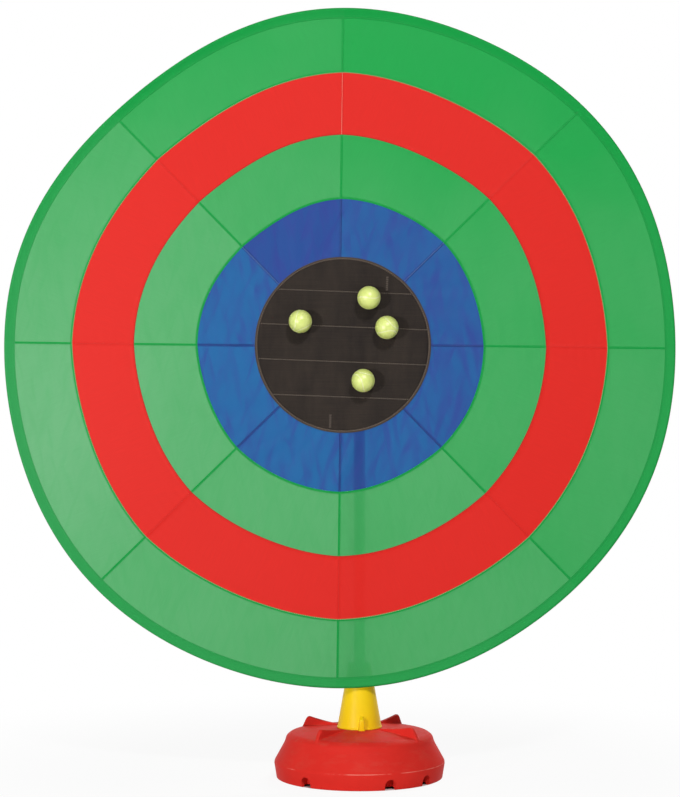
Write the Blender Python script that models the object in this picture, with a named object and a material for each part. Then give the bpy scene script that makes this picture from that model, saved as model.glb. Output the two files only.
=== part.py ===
"""Golf target: a round cloth face on a hoop, carried on a two-piece pole in a weighted base.

Metres, +Z up, front towards -Y. The origin is on the floor below the middle of the face.
The pole stands a little to the right of that middle, as the pocket on the back is sewn off
centre. Four felt balls stick to the hooks in the middle of the face.
"""

import math

import bmesh
import bpy
from mathutils import Matrix, Vector

for old in list(bpy.data.objects):
    bpy.data.objects.remove(old)

# Clearances
GAP = 0.0003  # between pieces that touch
LEAN_GAP = 0.0008  # between the hem and the cone that it leans on
POCKET_SLACK = 0.001  # between the pole and its cloth pocket
CHAMFER = 0.001

# Cloth face, measured in its own plane from its middle
HEM_CLEARANCE = 0.2112  # under the hem, above the floor
HOOP_RADIUS = 0.7894
HOOP_LOBES = (  # how the hoop sits out of round: lobes, height, degrees from +X
    (1, 0.0074, -61),
    (2, 0.0109, 53),
    (3, 0.0037, -50),
    (4, 0.0014, -10),
    (5, 0.0026, 25),
    (6, 0.0041, -22),
)
RED_OUTER_RADIUS = 0.633
RED_INNER_RADIUS = 0.485
BLUE_OUTER_RADIUS = 0.338
RED_OUTER_SAG = 0.0065  # how far each ring's edge draws in between two seams
RED_INNER_SAG = 0.0045
BLUE_OUTER_SAG = 0.003
PANELS = 8  # round each ring
PANEL_STEPS = 6
SEAM_TURN = math.radians(-0.7)
CLOTH = 0.0012

# Hem, hoop rod and its ferrule
HEM_WIDTH = 0.026
HEM_STEPS = 64
ROD_RADIUS = 0.003
ROD_END_GAP = 0.002
FERRULE_WALL = 0.001
FERRULE_LENGTH = 0.050
BEAD_SIDES = 6

# Hook patch
PATCH_X = 0.0061
PATCH_Z = 0.0012
PATCH_RADIUS = 0.2057
BINDING_WIDTH = 0.0064
BINDING_THICKNESS = 0.0022
STRIPS = 5
STRIP_WIDTH = 0.082
STRIP_SHIFT = 0.0015
STRIP_SLOPE = math.radians(-2.2)
STRIP_THICKNESS = 0.0015
PATCH_SIDES = 48

# Balls: where each one sticks, from the middle of the patch
BALL_RADIUS = 0.02725
BALL_SIDES = 20
BALL_BANDS = 12
BALL_PLACES = ((-0.0988, 0.0529), (0.0604, 0.1079), (0.1020, 0.0388), (0.0468, -0.0845))

# Pole
POLE_X = 0.045
POLE_RADIUS = 0.0135
POLE_WALL = 0.0015
POLE_ABOVE_MIDDLE = 0.093  # from the middle of the face up to the pole's top
LOWER_POLE_TOP = 0.560
PLUG_DEPTH = 0.022
FOOT_RIM = 0.003
CAP_DOME = 0.005
COUPLER_RIM = 0.003
COUPLER_DOWN = 0.045
COUPLER_UP = 0.060
COUPLER_WALL = 0.002
POLE_SIDES = 24

# Pocket on the back of the patch
POCKET_LENGTH = 0.250
POCKET_CLOTH = 0.0015
POCKET_FLANGE = 0.020
POCKET_SIDES = 16

# Base shell, turned about the pole
BASE_WALL = 0.004
BASE_BOTTOM_RADIUS = 0.194
BASE_BELT_RADIUS = 0.200
BASE_BELT_HEIGHT = 0.037
BASE_SHOULDER_RADIUS = 0.175
BASE_SHOULDER_HEIGHT = 0.082
BASE_EDGE_RADIUS = 0.171
BASE_EDGE_HEIGHT = 0.096
BASE_DECK_RADIUS = 0.160
BASE_DECK_HEIGHT = 0.104
BASE_HUB_HEIGHT = 0.115
BASE_HUB_MARGIN = 0.008  # of flat hub round the cone's foot
BASE_ROUNDING = 0.007
BASE_FOOT_WIDTH = 0.009
BASE_FOOT_HEIGHT = 0.005
BASE_SIDES = 48
WELL_RADIUS = 0.040
WELL_WALL = 0.0035
WELL_BOTTOM = 0.003

FIN_ANGLES = (53, 143, 233, 323)
FIN_THICKNESS = 0.009
FIN_RISE = 0.0215  # of the peak above the deck
FIN_SETBACK = 0.001  # of the fin's foot from the deck's edge
FIN_FRONT = 0.021  # from the foot in to the peak
FIN_ROOT_GAP = 0.0045  # from the cone's lip
FIN_ROUNDING = 0.0025

NOTCH_ANGLES = (50.8, 110.5, 140.8, 230.8, 290.5, 320.7)
NOTCH_WIDTH = 0.026
NOTCH_HEIGHT = 0.024
NOTCH_DEPTH = 0.026  # from the belt in to the back of the recess
NOTCH_ROOT = 0.0005  # how far a recess's hood is sunk into the rim's foot
NOTCH_STEPS = 6

# Ballast ring and its screws
BALLAST_BOTTOM = 0.030
BALLAST_THICKNESS = 0.012
BALLAST_OUTER_ROOM = 0.021  # from the shoulder's inner wall
BALLAST_INNER_ROOM = 0.008  # from the well
BALLAST_SIDES = 40
SCREWS = 3
SCREW_RADIUS = 0.0025
SCREW_HEAD_RADIUS = 0.006
SCREW_HEAD_HEIGHT = 0.004
SCREW_GRIP = 0.022  # the length that is inside the boss
BOSS_RADIUS = 0.009
SCREW_SIDES = 16

# Cone socket
CONE_FOOT_RADIUS = 0.052
CONE_LIP = 0.0006
CONE_LIP_HEIGHT = 0.003
CONE_TOP_RADIUS = 0.026
CONE_TOP = 0.262
CONE_WALL = 0.003
CONE_SIDES = 40
SPIGOT_BOTTOM = 0.030
SPIGOT_FLOOR = 0.004
SEAT_HEIGHT = 0.016
SEAT_WALL = 0.005
GUSSETS = 2
GUSSET_TURN = 275  # degrees, the one at the front
GUSSET_WIDTH = 0.016
GUSSET_RISE = 0.033
GUSSET_PROUD = 0.0085
GUSSET_KNEE = 0.024
GUSSET_KEY = 0.0068  # how deep its foot reaches into the deck
GUSSET_ROUNDING = 0.0015

# Collar in the cone's mouth
COLLAR_RIM = 0.003
COLLAR_DEPTH = 0.024

ON_AXIS = 1e-7
SAME_POINT = 1e-6
SMOOTH_BELOW = math.radians(35)
ARC_SHARE = 0.45  # of a straight length that a rounded corner at either end may use


def finish(name, red, green, blue, roughness, metallic=0.0):
    """A plain material from an sRGB colour, 0 to 255."""
    made = bpy.data.materials.new(name)
    made.use_nodes = True
    shader = made.node_tree.nodes["Principled BSDF"]
    linear = [((c / 255 + 0.055) / 1.055) ** 2.4 for c in (red, green, blue)]
    shader.inputs["Base Color"].default_value = (*linear, 1)
    shader.inputs["Roughness"].default_value = roughness
    shader.inputs["Metallic"].default_value = metallic
    return made


def empty(name, parent=None, location=(0, 0, 0), tilt=0.0):
    made = bpy.data.objects.new(name, None)
    bpy.context.scene.collection.objects.link(made)
    made.parent = parent
    made.location = location
    made.rotation_euler.x = tilt
    return made


def place(name, bm, material, parent, location=(0, 0, 0)):
    """Turns a finished bmesh into a named object under its parent."""
    bmesh.ops.remove_doubles(bm, verts=bm.verts, dist=SAME_POINT)
    bmesh.ops.recalc_face_normals(bm, faces=bm.faces)
    mesh = bpy.data.meshes.new(name)
    bm.to_mesh(mesh)
    bm.free()
    made = bpy.data.objects.new(name, mesh)
    bpy.context.scene.collection.objects.link(made)
    made.parent = parent
    made.location = location
    if material:
        mesh.materials.append(material)
    mesh.shade_smooth()
    mesh.set_sharp_from_angle(angle=SMOOTH_BELOW)
    return made


def boolean(target, other, operation):
    """Adds a live Boolean and keeps the other object hidden. EXACT loses a turned shell at times."""
    other.hide_render = True
    other.display_type = "WIRE"
    modifier = target.modifiers.new(other.name, "BOOLEAN")
    modifier.operation = operation
    modifier.object = other
    modifier.solver = "MANIFOLD"


def turned(profile, sides, start=0.0):
    """A closed profile of (radius, height) points, spun about Z."""
    bm = bmesh.new()
    verts = [bm.verts.new((max(r, 0.0), 0, z)) for r, z in profile]
    pairs = zip(verts, verts[1:] + verts[:1])
    edges = [bm.edges.new(p) for p in pairs if max(v.co.x for v in p) > ON_AXIS]
    bmesh.ops.rotate(bm, verts=bm.verts, cent=(0, 0, 0), matrix=Matrix.Rotation(start, 3, "Z"))
    bmesh.ops.spin(
        bm,
        geom=verts + edges,
        cent=(0, 0, 0),
        axis=(0, 0, 1),
        angle=math.tau,
        steps=sides,
        use_merge=True,
        use_duplicate=False,
    )
    return bm


def plate(outline, thickness, axis="Y"):
    """A flat outline of points, given thickness evenly to both sides of its plane, along X, Y or Z."""
    bm = bmesh.new()
    face = bm.faces.new([bm.verts.new(p) for p in outline])
    push = Vector([thickness if a == axis else 0 for a in "XYZ"])
    grown = bmesh.ops.extrude_face_region(bm, geom=[face])
    moved = [v for v in grown["geom"] if isinstance(v, bmesh.types.BMVert)]
    bmesh.ops.translate(bm, verts=moved, vec=push)
    bmesh.ops.translate(bm, verts=bm.verts, vec=-push / 2)
    return bm


def around(bm, degrees):
    """Turns a shape about Z."""
    turn = Matrix.Rotation(math.radians(degrees), 3, "Z")
    bmesh.ops.rotate(bm, verts=bm.verts, cent=(0, 0, 0), matrix=turn)
    return bm


def facing_front(bm):
    """Lays a shape that was turned about Z into the plane of the face, its top towards the front."""
    turn = Matrix.Rotation(math.radians(90), 3, "X")
    bmesh.ops.rotate(bm, verts=bm.verts, cent=(0, 0, 0), matrix=turn)
    return bm


def bore(radius, sides):
    """The corner radius of a faceted hole whose flats clear this radius."""
    return radius / math.cos(math.pi / sides)


def mitred(points, inset):
    """An open line of (radius, height) points moved to its left by inset."""
    moved = []
    for i, here in enumerate(points):
        before = Vector(points[max(i - 1, 0)])
        after = Vector(points[min(i + 1, len(points) - 1)])
        here = Vector(here)
        into = (here - before).normalized() if i else (after - here).normalized()
        out = (after - here).normalized() if i < len(points) - 1 else into
        normal = Vector((-into.y - out.y, into.x + out.x)).normalized()
        moved.append(here + normal * inset / normal.dot(Vector((-into.y, into.x))))
    return [tuple(p) for p in moved]


def lobes(angle):
    """How much further out the hoop is at this angle than a round one, as a share of its radius."""
    heights = (h * math.cos(n * (angle - math.radians(turn))) for n, h, turn in HOOP_LOBES)
    return sum(heights) / HOOP_RADIUS


def ring_edge(radius, sag=0.0, inset=0.0):
    """A function of angle for the edge of a ring, drawn in between the seams."""

    def edge(angle):
        between = abs(math.sin(PANELS / 2 * (angle - SEAM_TURN)))
        return radius * (1 + lobes(angle)) - sag * between - inset

    return edge


def patch_edge(radius):
    """A function of angle for a circle about the middle of the patch."""

    def edge(angle):
        along = PATCH_X * math.cos(angle) + PATCH_Z * math.sin(angle)
        across = PATCH_X * math.sin(angle) - PATCH_Z * math.cos(angle)
        return along + math.sqrt(radius**2 - across**2)

    return edge


def out_of_round(bm):
    """Moves a shape that was made round to the hoop's real outline."""
    for v in bm.verts:
        v.co.xz *= 1 + lobes(math.atan2(v.co.z, v.co.x))
    return bm


def sewn_panel(inner, outer, number):
    """One sector of a ring between two edges, with half a gap at each seam."""
    bm = bmesh.new()
    bmesh.ops.create_grid(bm, x_segments=PANEL_STEPS, y_segments=1, size=0.5)
    for v in bm.verts:
        along, across = v.co.x + 0.5, v.co.y + 0.5
        angle = SEAM_TURN + (number + along) * math.tau / PANELS
        radius = outer(angle) if across > 0.5 else inner(angle)
        if abs(along - 0.5) > 0.49:
            angle += math.copysign(GAP / 2 / radius, 0.5 - along)
        v.co = (radius * math.cos(angle), 0, radius * math.sin(angle))
    thicken(bm, CLOTH)
    return bm


def thicken(bm, thickness):
    """Gives a flat sheet in the plane of the face its thickness, evenly to front and back."""
    grown = bmesh.ops.extrude_face_region(bm, geom=bm.faces[:])
    moved = [v for v in grown["geom"] if isinstance(v, bmesh.types.BMVert)]
    bmesh.ops.translate(bm, verts=moved, vec=(0, thickness, 0))
    bmesh.ops.translate(bm, verts=bm.verts, vec=(0, -thickness / 2, 0))


# Sizes that follow from the driving ones

bead_gap = bore(GAP, BEAD_SIDES)  # between six-sided shapes that lie the same way round
hole_radius = ROD_RADIUS + bead_gap
ferrule_radius = hole_radius + FERRULE_WALL
channel_radius = ferrule_radius + bead_gap
bead_radius = channel_radius + CLOTH
cone_seat = BASE_HUB_HEIGHT + GAP
seat_floor = SPIGOT_BOTTOM + SPIGOT_FLOOR
hub_radius = CONE_FOOT_RADIUS + BASE_HUB_MARGIN
joint_radius = PATCH_RADIUS - BINDING_WIDTH / 2  # where the blue cloth ends, under the binding
ballast_top = BALLAST_BOTTOM + BALLAST_THICKNESS
ballast_outer = BASE_SHOULDER_RADIUS - BASE_WALL - BALLAST_OUTER_ROOM
ballast_inner = WELL_RADIUS + WELL_WALL + BALLAST_INNER_ROOM
screw_circle = (ballast_inner + ballast_outer) / 2


def cone_radius(height):
    share = (min(height, CONE_TOP) - cone_seat) / (CONE_TOP - cone_seat)
    return CONE_FOOT_RADIUS + share * (CONE_TOP_RADIUS - CONE_FOOT_RADIUS)


def deck_height(radius):
    share = max(radius - hub_radius, 0) / (BASE_DECK_RADIUS - hub_radius)
    return BASE_HUB_HEIGHT + share * (BASE_DECK_HEIGHT - BASE_HUB_HEIGHT)


# The face leans back from the cone, which its hem touches, to the top of the pole
pole_angle = math.atan2(-HOOP_RADIUS, POLE_X)
hem_reach = -ring_edge(HOOP_RADIUS)(pole_angle) * math.sin(pole_angle)
face_height = HEM_CLEARANCE + hem_reach
pole_top = face_height + POLE_ABOVE_MIDDLE
hem_height = HEM_CLEARANCE + bead_radius
hem_depth = cone_radius(HEM_CLEARANCE) + LEAN_GAP + bead_radius
top_depth = POLE_RADIUS + POCKET_SLACK + CLOTH / 2
lean = math.atan2(hem_depth - top_depth, pole_top - hem_height)


def face_y(height, behind=0.0):
    """Where the middle of the cloth is at this height, or a plane this far behind it."""
    return -top_depth - (pole_top - height) * math.tan(lean) + behind / math.cos(lean)


green_cloth = finish("green nylon", 46, 172, 84, 0.55)
red_cloth = finish("red nylon", 226, 52, 48, 0.5)
blue_cloth = finish("blue nylon", 45, 105, 175, 0.5)
hem_cloth = finish("green hem", 30, 150, 66, 0.6)
hook_tape = finish("black hook tape", 60, 52, 44, 0.95)
binding_tape = finish("brown binding tape", 104, 86, 72, 0.85)
black_canvas = finish("black canvas", 34, 32, 31, 0.9)
red_plastic = finish("red moulded plastic", 226, 50, 47, 0.35)
yellow_plastic = finish("yellow moulded plastic", 250, 216, 30, 0.35)
black_plastic = finish("black moulded plastic", 28, 28, 30, 0.45)
tube_metal = finish("anodised aluminium", 150, 152, 156, 0.35, 1.0)
brass_metal = finish("drawn brass", 190, 150, 84, 0.3, 1.0)
rod_resin = finish("glass-fibre rod", 205, 200, 180, 0.45)
cast_iron = finish("cast iron", 66, 64, 63, 0.7, 1.0)
zinc_steel = finish("zinc-plated steel", 170, 172, 174, 0.35, 1.0)
yellow_felt = finish("yellow felt", 214, 234, 112, 0.95)

base = empty("base", location=(POLE_X, 0, 0))
cone = empty("cone", parent=base)
collar = empty("collar", parent=cone)
lower = empty("lower", parent=collar)
upper = empty("upper", parent=lower)
target = empty("target", parent=upper)
face = empty("face", target, (-POLE_X, face_y(face_height), face_height), -lean)
patch = empty("patch", face, (PATCH_X, 0, PATCH_Z))


def base_outline():
    """The outside of the base, from the floor up to the edge of the well."""
    return [
        (BASE_BOTTOM_RADIUS, 0),
        (BASE_BELT_RADIUS, BASE_BELT_HEIGHT),
        (BASE_SHOULDER_RADIUS, BASE_SHOULDER_HEIGHT),
        (BASE_EDGE_RADIUS, BASE_EDGE_HEIGHT),
        (BASE_DECK_RADIUS, BASE_DECK_HEIGHT),
        (hub_radius, BASE_HUB_HEIGHT),
        (WELL_RADIUS, BASE_HUB_HEIGHT),
    ]


def rounded(points, radius, steps=2):
    """A line whose corners between its ends are rounded by arcs of about this radius."""
    made = [points[0]]
    for before, here, after in zip(points, points[1:], points[2:]):
        here = Vector(here)
        arm_in = Vector(before) - here
        arm_out = Vector(after) - here
        reach = min(radius, arm_in.length * ARC_SHARE, arm_out.length * ARC_SHARE)
        start = here + arm_in.normalized() * reach
        end = here + arm_out.normalized() * reach
        for i in range(steps + 1):
            t = i / steps
            made.append(tuple(start * (1 - t) ** 2 + here * 2 * t * (1 - t) + end * t**2))
    return made + [points[-1]]


def make_base_shell():
    """A moulded shell, open below, with a well for the cone, ramp fins, rim recesses and bosses."""
    outside = rounded(base_outline(), BASE_ROUNDING)
    inside = mitred(base_outline(), BASE_WALL)
    tube = WELL_RADIUS + WELL_WALL
    hollow = [p for p in inside if p[1] > BASE_FOOT_HEIGHT + BASE_WALL and p[0] > tube + BASE_WALL]
    foot = BASE_BOTTOM_RADIUS - BASE_FOOT_WIDTH
    well = [(WELL_RADIUS, WELL_BOTTOM), (tube, WELL_BOTTOM), (tube, BASE_HUB_HEIGHT - BASE_WALL)]
    profile = outside + well + hollow[::-1] + [(foot, BASE_FOOT_HEIGHT), (foot, 0)]
    shell = place("base_shell", turned(profile, BASE_SIDES), red_plastic, base)
    for i, degrees in enumerate(FIN_ANGLES, 1):
        boolean(shell, make_fin(f"fin {i}", degrees), "UNION")
    for i in range(SCREWS):
        boolean(shell, make_boss(f"boss {i + 1}", screw_angle(i)), "UNION")
    for i, degrees in enumerate(NOTCH_ANGLES, 1):
        boolean(shell, make_hood(f"hood {i}", degrees), "UNION")
    for i, degrees in enumerate(NOTCH_ANGLES, 1):
        boolean(shell, make_notch(f"notch {i}", degrees), "DIFFERENCE")
    for i in range(GUSSETS):
        boolean(shell, make_key_slot(f"key slot {i + 1}", gusset_angle(i)), "DIFFERENCE")
    for i in range(SCREWS):
        boolean(shell, make_pilot(f"pilot {i + 1}", screw_angle(i)), "DIFFERENCE")
    return shell


def make_fin(name, degrees):
    """A thick upright ramp on the deck, rising outwards, with its foot buried in the wall."""
    buried = BASE_WALL / 2
    root = CONE_FOOT_RADIUS + CONE_LIP + FIN_ROOT_GAP
    foot = BASE_EDGE_RADIUS - FIN_SETBACK
    peak = foot - FIN_FRONT
    outline = [
        (root, deck_height(root) - buried),
        (root, deck_height(root) + buried / 2),
        (peak, deck_height(peak) + FIN_RISE),
        (foot, BASE_EDGE_HEIGHT),
        (foot - BASE_WALL, BASE_EDGE_HEIGHT - buried),
        (BASE_DECK_RADIUS - buried, BASE_DECK_HEIGHT - buried),
        (hub_radius, BASE_HUB_HEIGHT - buried),
    ]
    bm = plate([(r, 0, z) for r, z in outline], FIN_THICKNESS)
    crest = outline[1:4]
    over = [e for e in bm.edges if all(on_line(v.co, crest) for v in e.verts)]
    bmesh.ops.bevel(
        bm, geom=over, offset=FIN_ROUNDING, segments=2, profile=0.5, affect="EDGES", material=-1
    )
    return place(name, around(bm, degrees), None, base)


def on_line(point, line):
    """Whether a point of a plate in the XZ plane is one of these (radius, height) points."""
    return any(math.dist((point.x, point.z), p) < SAME_POINT for p in line)


def make_boss(name, degrees):
    """A post under the deck that the ballast ring is screwed to."""
    top = deck_height(screw_circle) - BASE_WALL / 2
    bm = bmesh.new()
    bmesh.ops.create_cone(
        bm,
        cap_ends=True,
        segments=SCREW_SIDES,
        radius1=BOSS_RADIUS,
        radius2=BOSS_RADIUS,
        depth=top - ballast_top - GAP,
    )
    bmesh.ops.translate(bm, verts=bm.verts, vec=(screw_circle, 0, (top + ballast_top + GAP) / 2))
    return place(name, around(bm, degrees), None, base)


def make_pilot(name, degrees):
    """The blind hole in a boss."""
    low, high = ballast_top - BASE_WALL, ballast_top + SCREW_GRIP + 2 * GAP
    radius = bore(SCREW_RADIUS + GAP, SCREW_SIDES)
    bm = bmesh.new()
    bmesh.ops.create_cone(
        bm, cap_ends=True, segments=SCREW_SIDES, radius1=radius, radius2=radius, depth=high - low
    )
    bmesh.ops.translate(bm, verts=bm.verts, vec=(screw_circle, 0, (low + high) / 2))
    return place(name, around(bm, degrees), None, base)


def round_topped(low, inner, outer, grown=0.0):
    """A block with the outline of a notch seen along its radius, between two distances from the pole."""
    half = NOTCH_WIDTH / 2
    spring = NOTCH_HEIGHT - half
    half += grown
    turns = [i * math.pi / NOTCH_STEPS for i in range(NOTCH_STEPS + 1)]
    arch = [(0, half * math.cos(t), spring + half * math.sin(t)) for t in turns]
    bm = plate([(0, half, low), *arch, (0, -half, low)], outer - inner, "X")
    bmesh.ops.translate(bm, verts=bm.verts, vec=((inner + outer) / 2, 0, 0))
    return bm


def make_notch(name, degrees):
    """A recess moulded in the rim, open at the front and below."""
    back = BASE_BELT_RADIUS - NOTCH_DEPTH
    bm = round_topped(-BASE_WALL, back, BASE_BELT_RADIUS + NOTCH_DEPTH)
    return place(name, around(bm, degrees), None, base)


def make_hood(name, degrees):
    """The walls round a recess in the rim."""
    back = BASE_BELT_RADIUS - NOTCH_DEPTH - BASE_WALL
    front = BASE_BOTTOM_RADIUS - BASE_WALL / 4
    bm = round_topped(BASE_FOOT_HEIGHT - NOTCH_ROOT, back, front, BASE_WALL)
    return place(name, around(bm, degrees), None, base)


def make_key_slot(name, degrees):
    """A slot through the deck for the foot of a gusset."""
    inner, outer = CONE_FOOT_RADIUS - CONE_WALL, CONE_FOOT_RADIUS + GUSSET_PROUD + 2 * GAP
    low, high = cone_seat - GUSSET_KEY - 2 * GAP, cone_seat + GUSSET_KNEE
    outline = [(inner, 0, low), (outer, 0, low), (outer, 0, high), (inner, 0, high)]
    return place(name, around(plate(outline, GUSSET_WIDTH + 4 * GAP), degrees), None, base)


def screw_angle(number):
    return 90 + number * 360 / SCREWS


def gusset_angle(number):
    return GUSSET_TURN + number * 360 / GUSSETS


def make_ballast():
    """A cast ring bolted up into the shell, with a counterbored hole for each screw."""
    profile = [
        (ballast_inner, BALLAST_BOTTOM),
        (ballast_outer, BALLAST_BOTTOM),
        (ballast_outer, ballast_top),
        (ballast_inner, ballast_top),
    ]
    ring = place("ballast_ring", turned(profile, BALLAST_SIDES), cast_iron, base)
    head = bore(SCREW_HEAD_RADIUS + GAP, SCREW_SIDES)
    shank = bore(SCREW_RADIUS + GAP, SCREW_SIDES)
    ledge = BALLAST_BOTTOM + SCREW_HEAD_HEIGHT + 2 * GAP
    hole = [
        (0, BALLAST_BOTTOM - BASE_WALL),
        (head, BALLAST_BOTTOM - BASE_WALL),
        (head, ledge),
        (shank, ledge),
        (shank, ballast_top + BASE_WALL),
        (0, ballast_top + BASE_WALL),
    ]
    under = SCREW_HEAD_RADIUS
    screw = [
        (0, 0),
        (under - CHAMFER, 0),
        (under, CHAMFER),
        (under, SCREW_HEAD_HEIGHT),
        (SCREW_RADIUS, SCREW_HEAD_HEIGHT),
        (SCREW_RADIUS, ballast_top - BALLAST_BOTTOM + SCREW_GRIP - SCREW_RADIUS),
        (0, ballast_top - BALLAST_BOTTOM + SCREW_GRIP),
    ]
    for i in range(SCREWS):
        turn = math.radians(screw_angle(i))
        spot = (screw_circle * math.cos(turn), screw_circle * math.sin(turn), 0)
        drill = place(f"ballast hole {i + 1}", turned(hole, SCREW_SIDES), None, base, spot)
        boolean(ring, drill, "DIFFERENCE")
        seat = (*spot[:2], BALLAST_BOTTOM + GAP)
        place(f"ballast_screw_{i + 1}", turned(screw, SCREW_SIDES), zinc_steel, base, seat)


def make_cone_socket():
    """The yellow cone, its spigot in the well, and the seat that locates the pole's foot."""
    spigot = WELL_RADIUS * math.cos(math.pi / BASE_SIDES) - GAP
    lip = CONE_FOOT_RADIUS + CONE_LIP
    lip_top = cone_seat + CONE_LIP_HEIGHT
    seat = bore(POLE_RADIUS + 2 * GAP, CONE_SIDES)
    profile = [
        (0, SPIGOT_BOTTOM),
        (spigot, SPIGOT_BOTTOM),
        (spigot, cone_seat),
        (lip, cone_seat),
        (lip, lip_top),
        (cone_radius(lip_top + CONE_LIP), lip_top + CONE_LIP),
        (CONE_TOP_RADIUS, CONE_TOP),
        (CONE_TOP_RADIUS - CONE_WALL, CONE_TOP),
        (cone_radius(lip_top) - CONE_WALL, lip_top),
        (spigot - CONE_WALL, cone_seat - CONE_WALL),
        (spigot - CONE_WALL, seat_floor),
        (seat + SEAT_WALL, seat_floor),
        (seat + SEAT_WALL, seat_floor + SEAT_HEIGHT),
        (seat, seat_floor + SEAT_HEIGHT),
        (seat, seat_floor),
        (0, seat_floor),
    ]
    socket = place("cone_socket", turned(profile, CONE_SIDES), yellow_plastic, cone)
    for i in range(GUSSETS):
        boolean(socket, make_gusset(f"gusset {i + 1}", gusset_angle(i)), "UNION")


def make_gusset(name, degrees):
    """A triangular rib at the cone's foot, whose lower end keys into the deck."""
    buried = CONE_WALL / 2
    into = CONE_FOOT_RADIUS - buried
    reach = CONE_FOOT_RADIUS + GUSSET_PROUD
    top = cone_seat + GUSSET_RISE
    outline = [
        (into, cone_seat - GUSSET_KEY),
        (reach, cone_seat - GUSSET_KEY),
        (reach, cone_seat + GUSSET_KNEE),
        (cone_radius(top) - buried / 2, top),
        (cone_radius(top) - buried, top - CONE_WALL),
        (into, cone_seat + CONE_LIP_HEIGHT),
    ]
    bm = plate([(r, 0, z) for r, z in outline], GUSSET_WIDTH)
    face_edges = outline[1:4]
    outer = [e for e in bm.edges if all(on_line(v.co, face_edges) for v in e.verts)]
    bmesh.ops.bevel(
        bm, geom=outer, offset=GUSSET_ROUNDING, segments=2, profile=0.5, affect="EDGES", material=-1
    )
    return place(name, around(bm, degrees), None, cone)


def make_collar():
    """A bush that drops into the cone's mouth and centres the pole."""
    hole = bore(POLE_RADIUS + GAP, CONE_SIDES)
    mouth = (CONE_TOP_RADIUS - CONE_WALL) * math.cos(math.pi / CONE_SIDES) - GAP
    rest = CONE_TOP + GAP
    end = CONE_TOP - COLLAR_DEPTH
    top = rest + COLLAR_RIM
    profile = [
        (hole, end),
        (mouth - CHAMFER, end),
        (mouth, end + CHAMFER),
        (mouth, rest),
        (CONE_TOP_RADIUS, rest),
        (CONE_TOP_RADIUS, top - CHAMFER),
        (CONE_TOP_RADIUS - CHAMFER, top),
        (hole + CHAMFER, top),
        (hole, top - CHAMFER),
    ]
    place("pole_collar", turned(profile, CONE_SIDES), black_plastic, collar)


def make_poles():
    """Two lengths of tube, a foot plug, a coupler between them and a domed cap."""
    inner = POLE_RADIUS - POLE_WALL
    fit = inner * math.cos(math.pi / POLE_SIDES) - GAP
    foot_bottom = seat_floor + GAP
    lower_bottom = foot_bottom + FOOT_RIM + GAP
    rim_bottom = LOWER_POLE_TOP + GAP
    upper_bottom = rim_bottom + COUPLER_RIM + GAP
    upper_top = pole_top - CAP_DOME - GAP
    plug_top = lower_bottom + PLUG_DEPTH
    foot = [
        (0, foot_bottom),
        (POLE_RADIUS - CHAMFER, foot_bottom),
        (POLE_RADIUS, foot_bottom + CHAMFER),
        (POLE_RADIUS, foot_bottom + FOOT_RIM),
        (fit, foot_bottom + FOOT_RIM),
        (fit, plug_top - CHAMFER),
        (fit - CHAMFER, plug_top),
        (0, plug_top),
    ]
    coupler = [
        (fit - COUPLER_WALL, LOWER_POLE_TOP - COUPLER_DOWN),
        (fit, LOWER_POLE_TOP - COUPLER_DOWN),
        (fit, rim_bottom),
        (POLE_RADIUS, rim_bottom),
        (POLE_RADIUS, rim_bottom + COUPLER_RIM),
        (fit, rim_bottom + COUPLER_RIM),
        (fit, upper_bottom + COUPLER_UP - CHAMFER),
        (fit - CHAMFER, upper_bottom + COUPLER_UP),
        (fit - COUPLER_WALL, upper_bottom + COUPLER_UP),
    ]
    plug_bottom = upper_top - PLUG_DEPTH
    cap = [
        (0, plug_bottom),
        (fit - CHAMFER, plug_bottom),
        (fit, plug_bottom + CHAMFER),
        (fit, pole_top - CAP_DOME),
        (POLE_RADIUS, pole_top - CAP_DOME),
        (POLE_RADIUS, pole_top - CAP_DOME / 2),
        (POLE_RADIUS - CAP_DOME / 2, pole_top),
        (0, pole_top),
    ]
    place("pole_foot", turned(foot, POLE_SIDES), black_plastic, lower)
    place("lower_pole", tube(lower_bottom, LOWER_POLE_TOP), tube_metal, lower)
    place("pole_coupler", turned(coupler, POLE_SIDES), black_plastic, lower)
    place("upper_pole", tube(upper_bottom, upper_top), tube_metal, upper)
    place("pole_cap", turned(cap, POLE_SIDES), black_plastic, upper)


def tube(low, high):
    """A length of the pole's tube."""
    inner = POLE_RADIUS - POLE_WALL
    profile = [(inner, low), (POLE_RADIUS, low), (POLE_RADIUS, high), (inner, high)]
    return turned(profile, POLE_SIDES)


def make_rings():
    """Four rings of eight panels: green, red, green and blue."""
    tuck = 2 * bead_radius
    seams = [
        (RED_OUTER_RADIUS, RED_OUTER_SAG),
        (RED_INNER_RADIUS, RED_INNER_SAG),
        (BLUE_OUTER_RADIUS, BLUE_OUTER_SAG),
    ]
    outer_edges = [ring_edge(HOOP_RADIUS, inset=tuck)] + [ring_edge(*seam, GAP) for seam in seams]
    inner_edges = [ring_edge(*seam) for seam in seams] + [patch_edge(joint_radius)]
    rings = ("outer_green_panel", "red_panel", "inner_green_panel", "blue_panel")
    cloths = (green_cloth, red_cloth, green_cloth, blue_cloth)
    for ring, cloth, inner, outer in zip(rings, cloths, inner_edges, outer_edges):
        for number in range(PANELS):
            place(f"{ring}_{number + 1}", sewn_panel(inner, outer, number), cloth, face)


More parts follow.
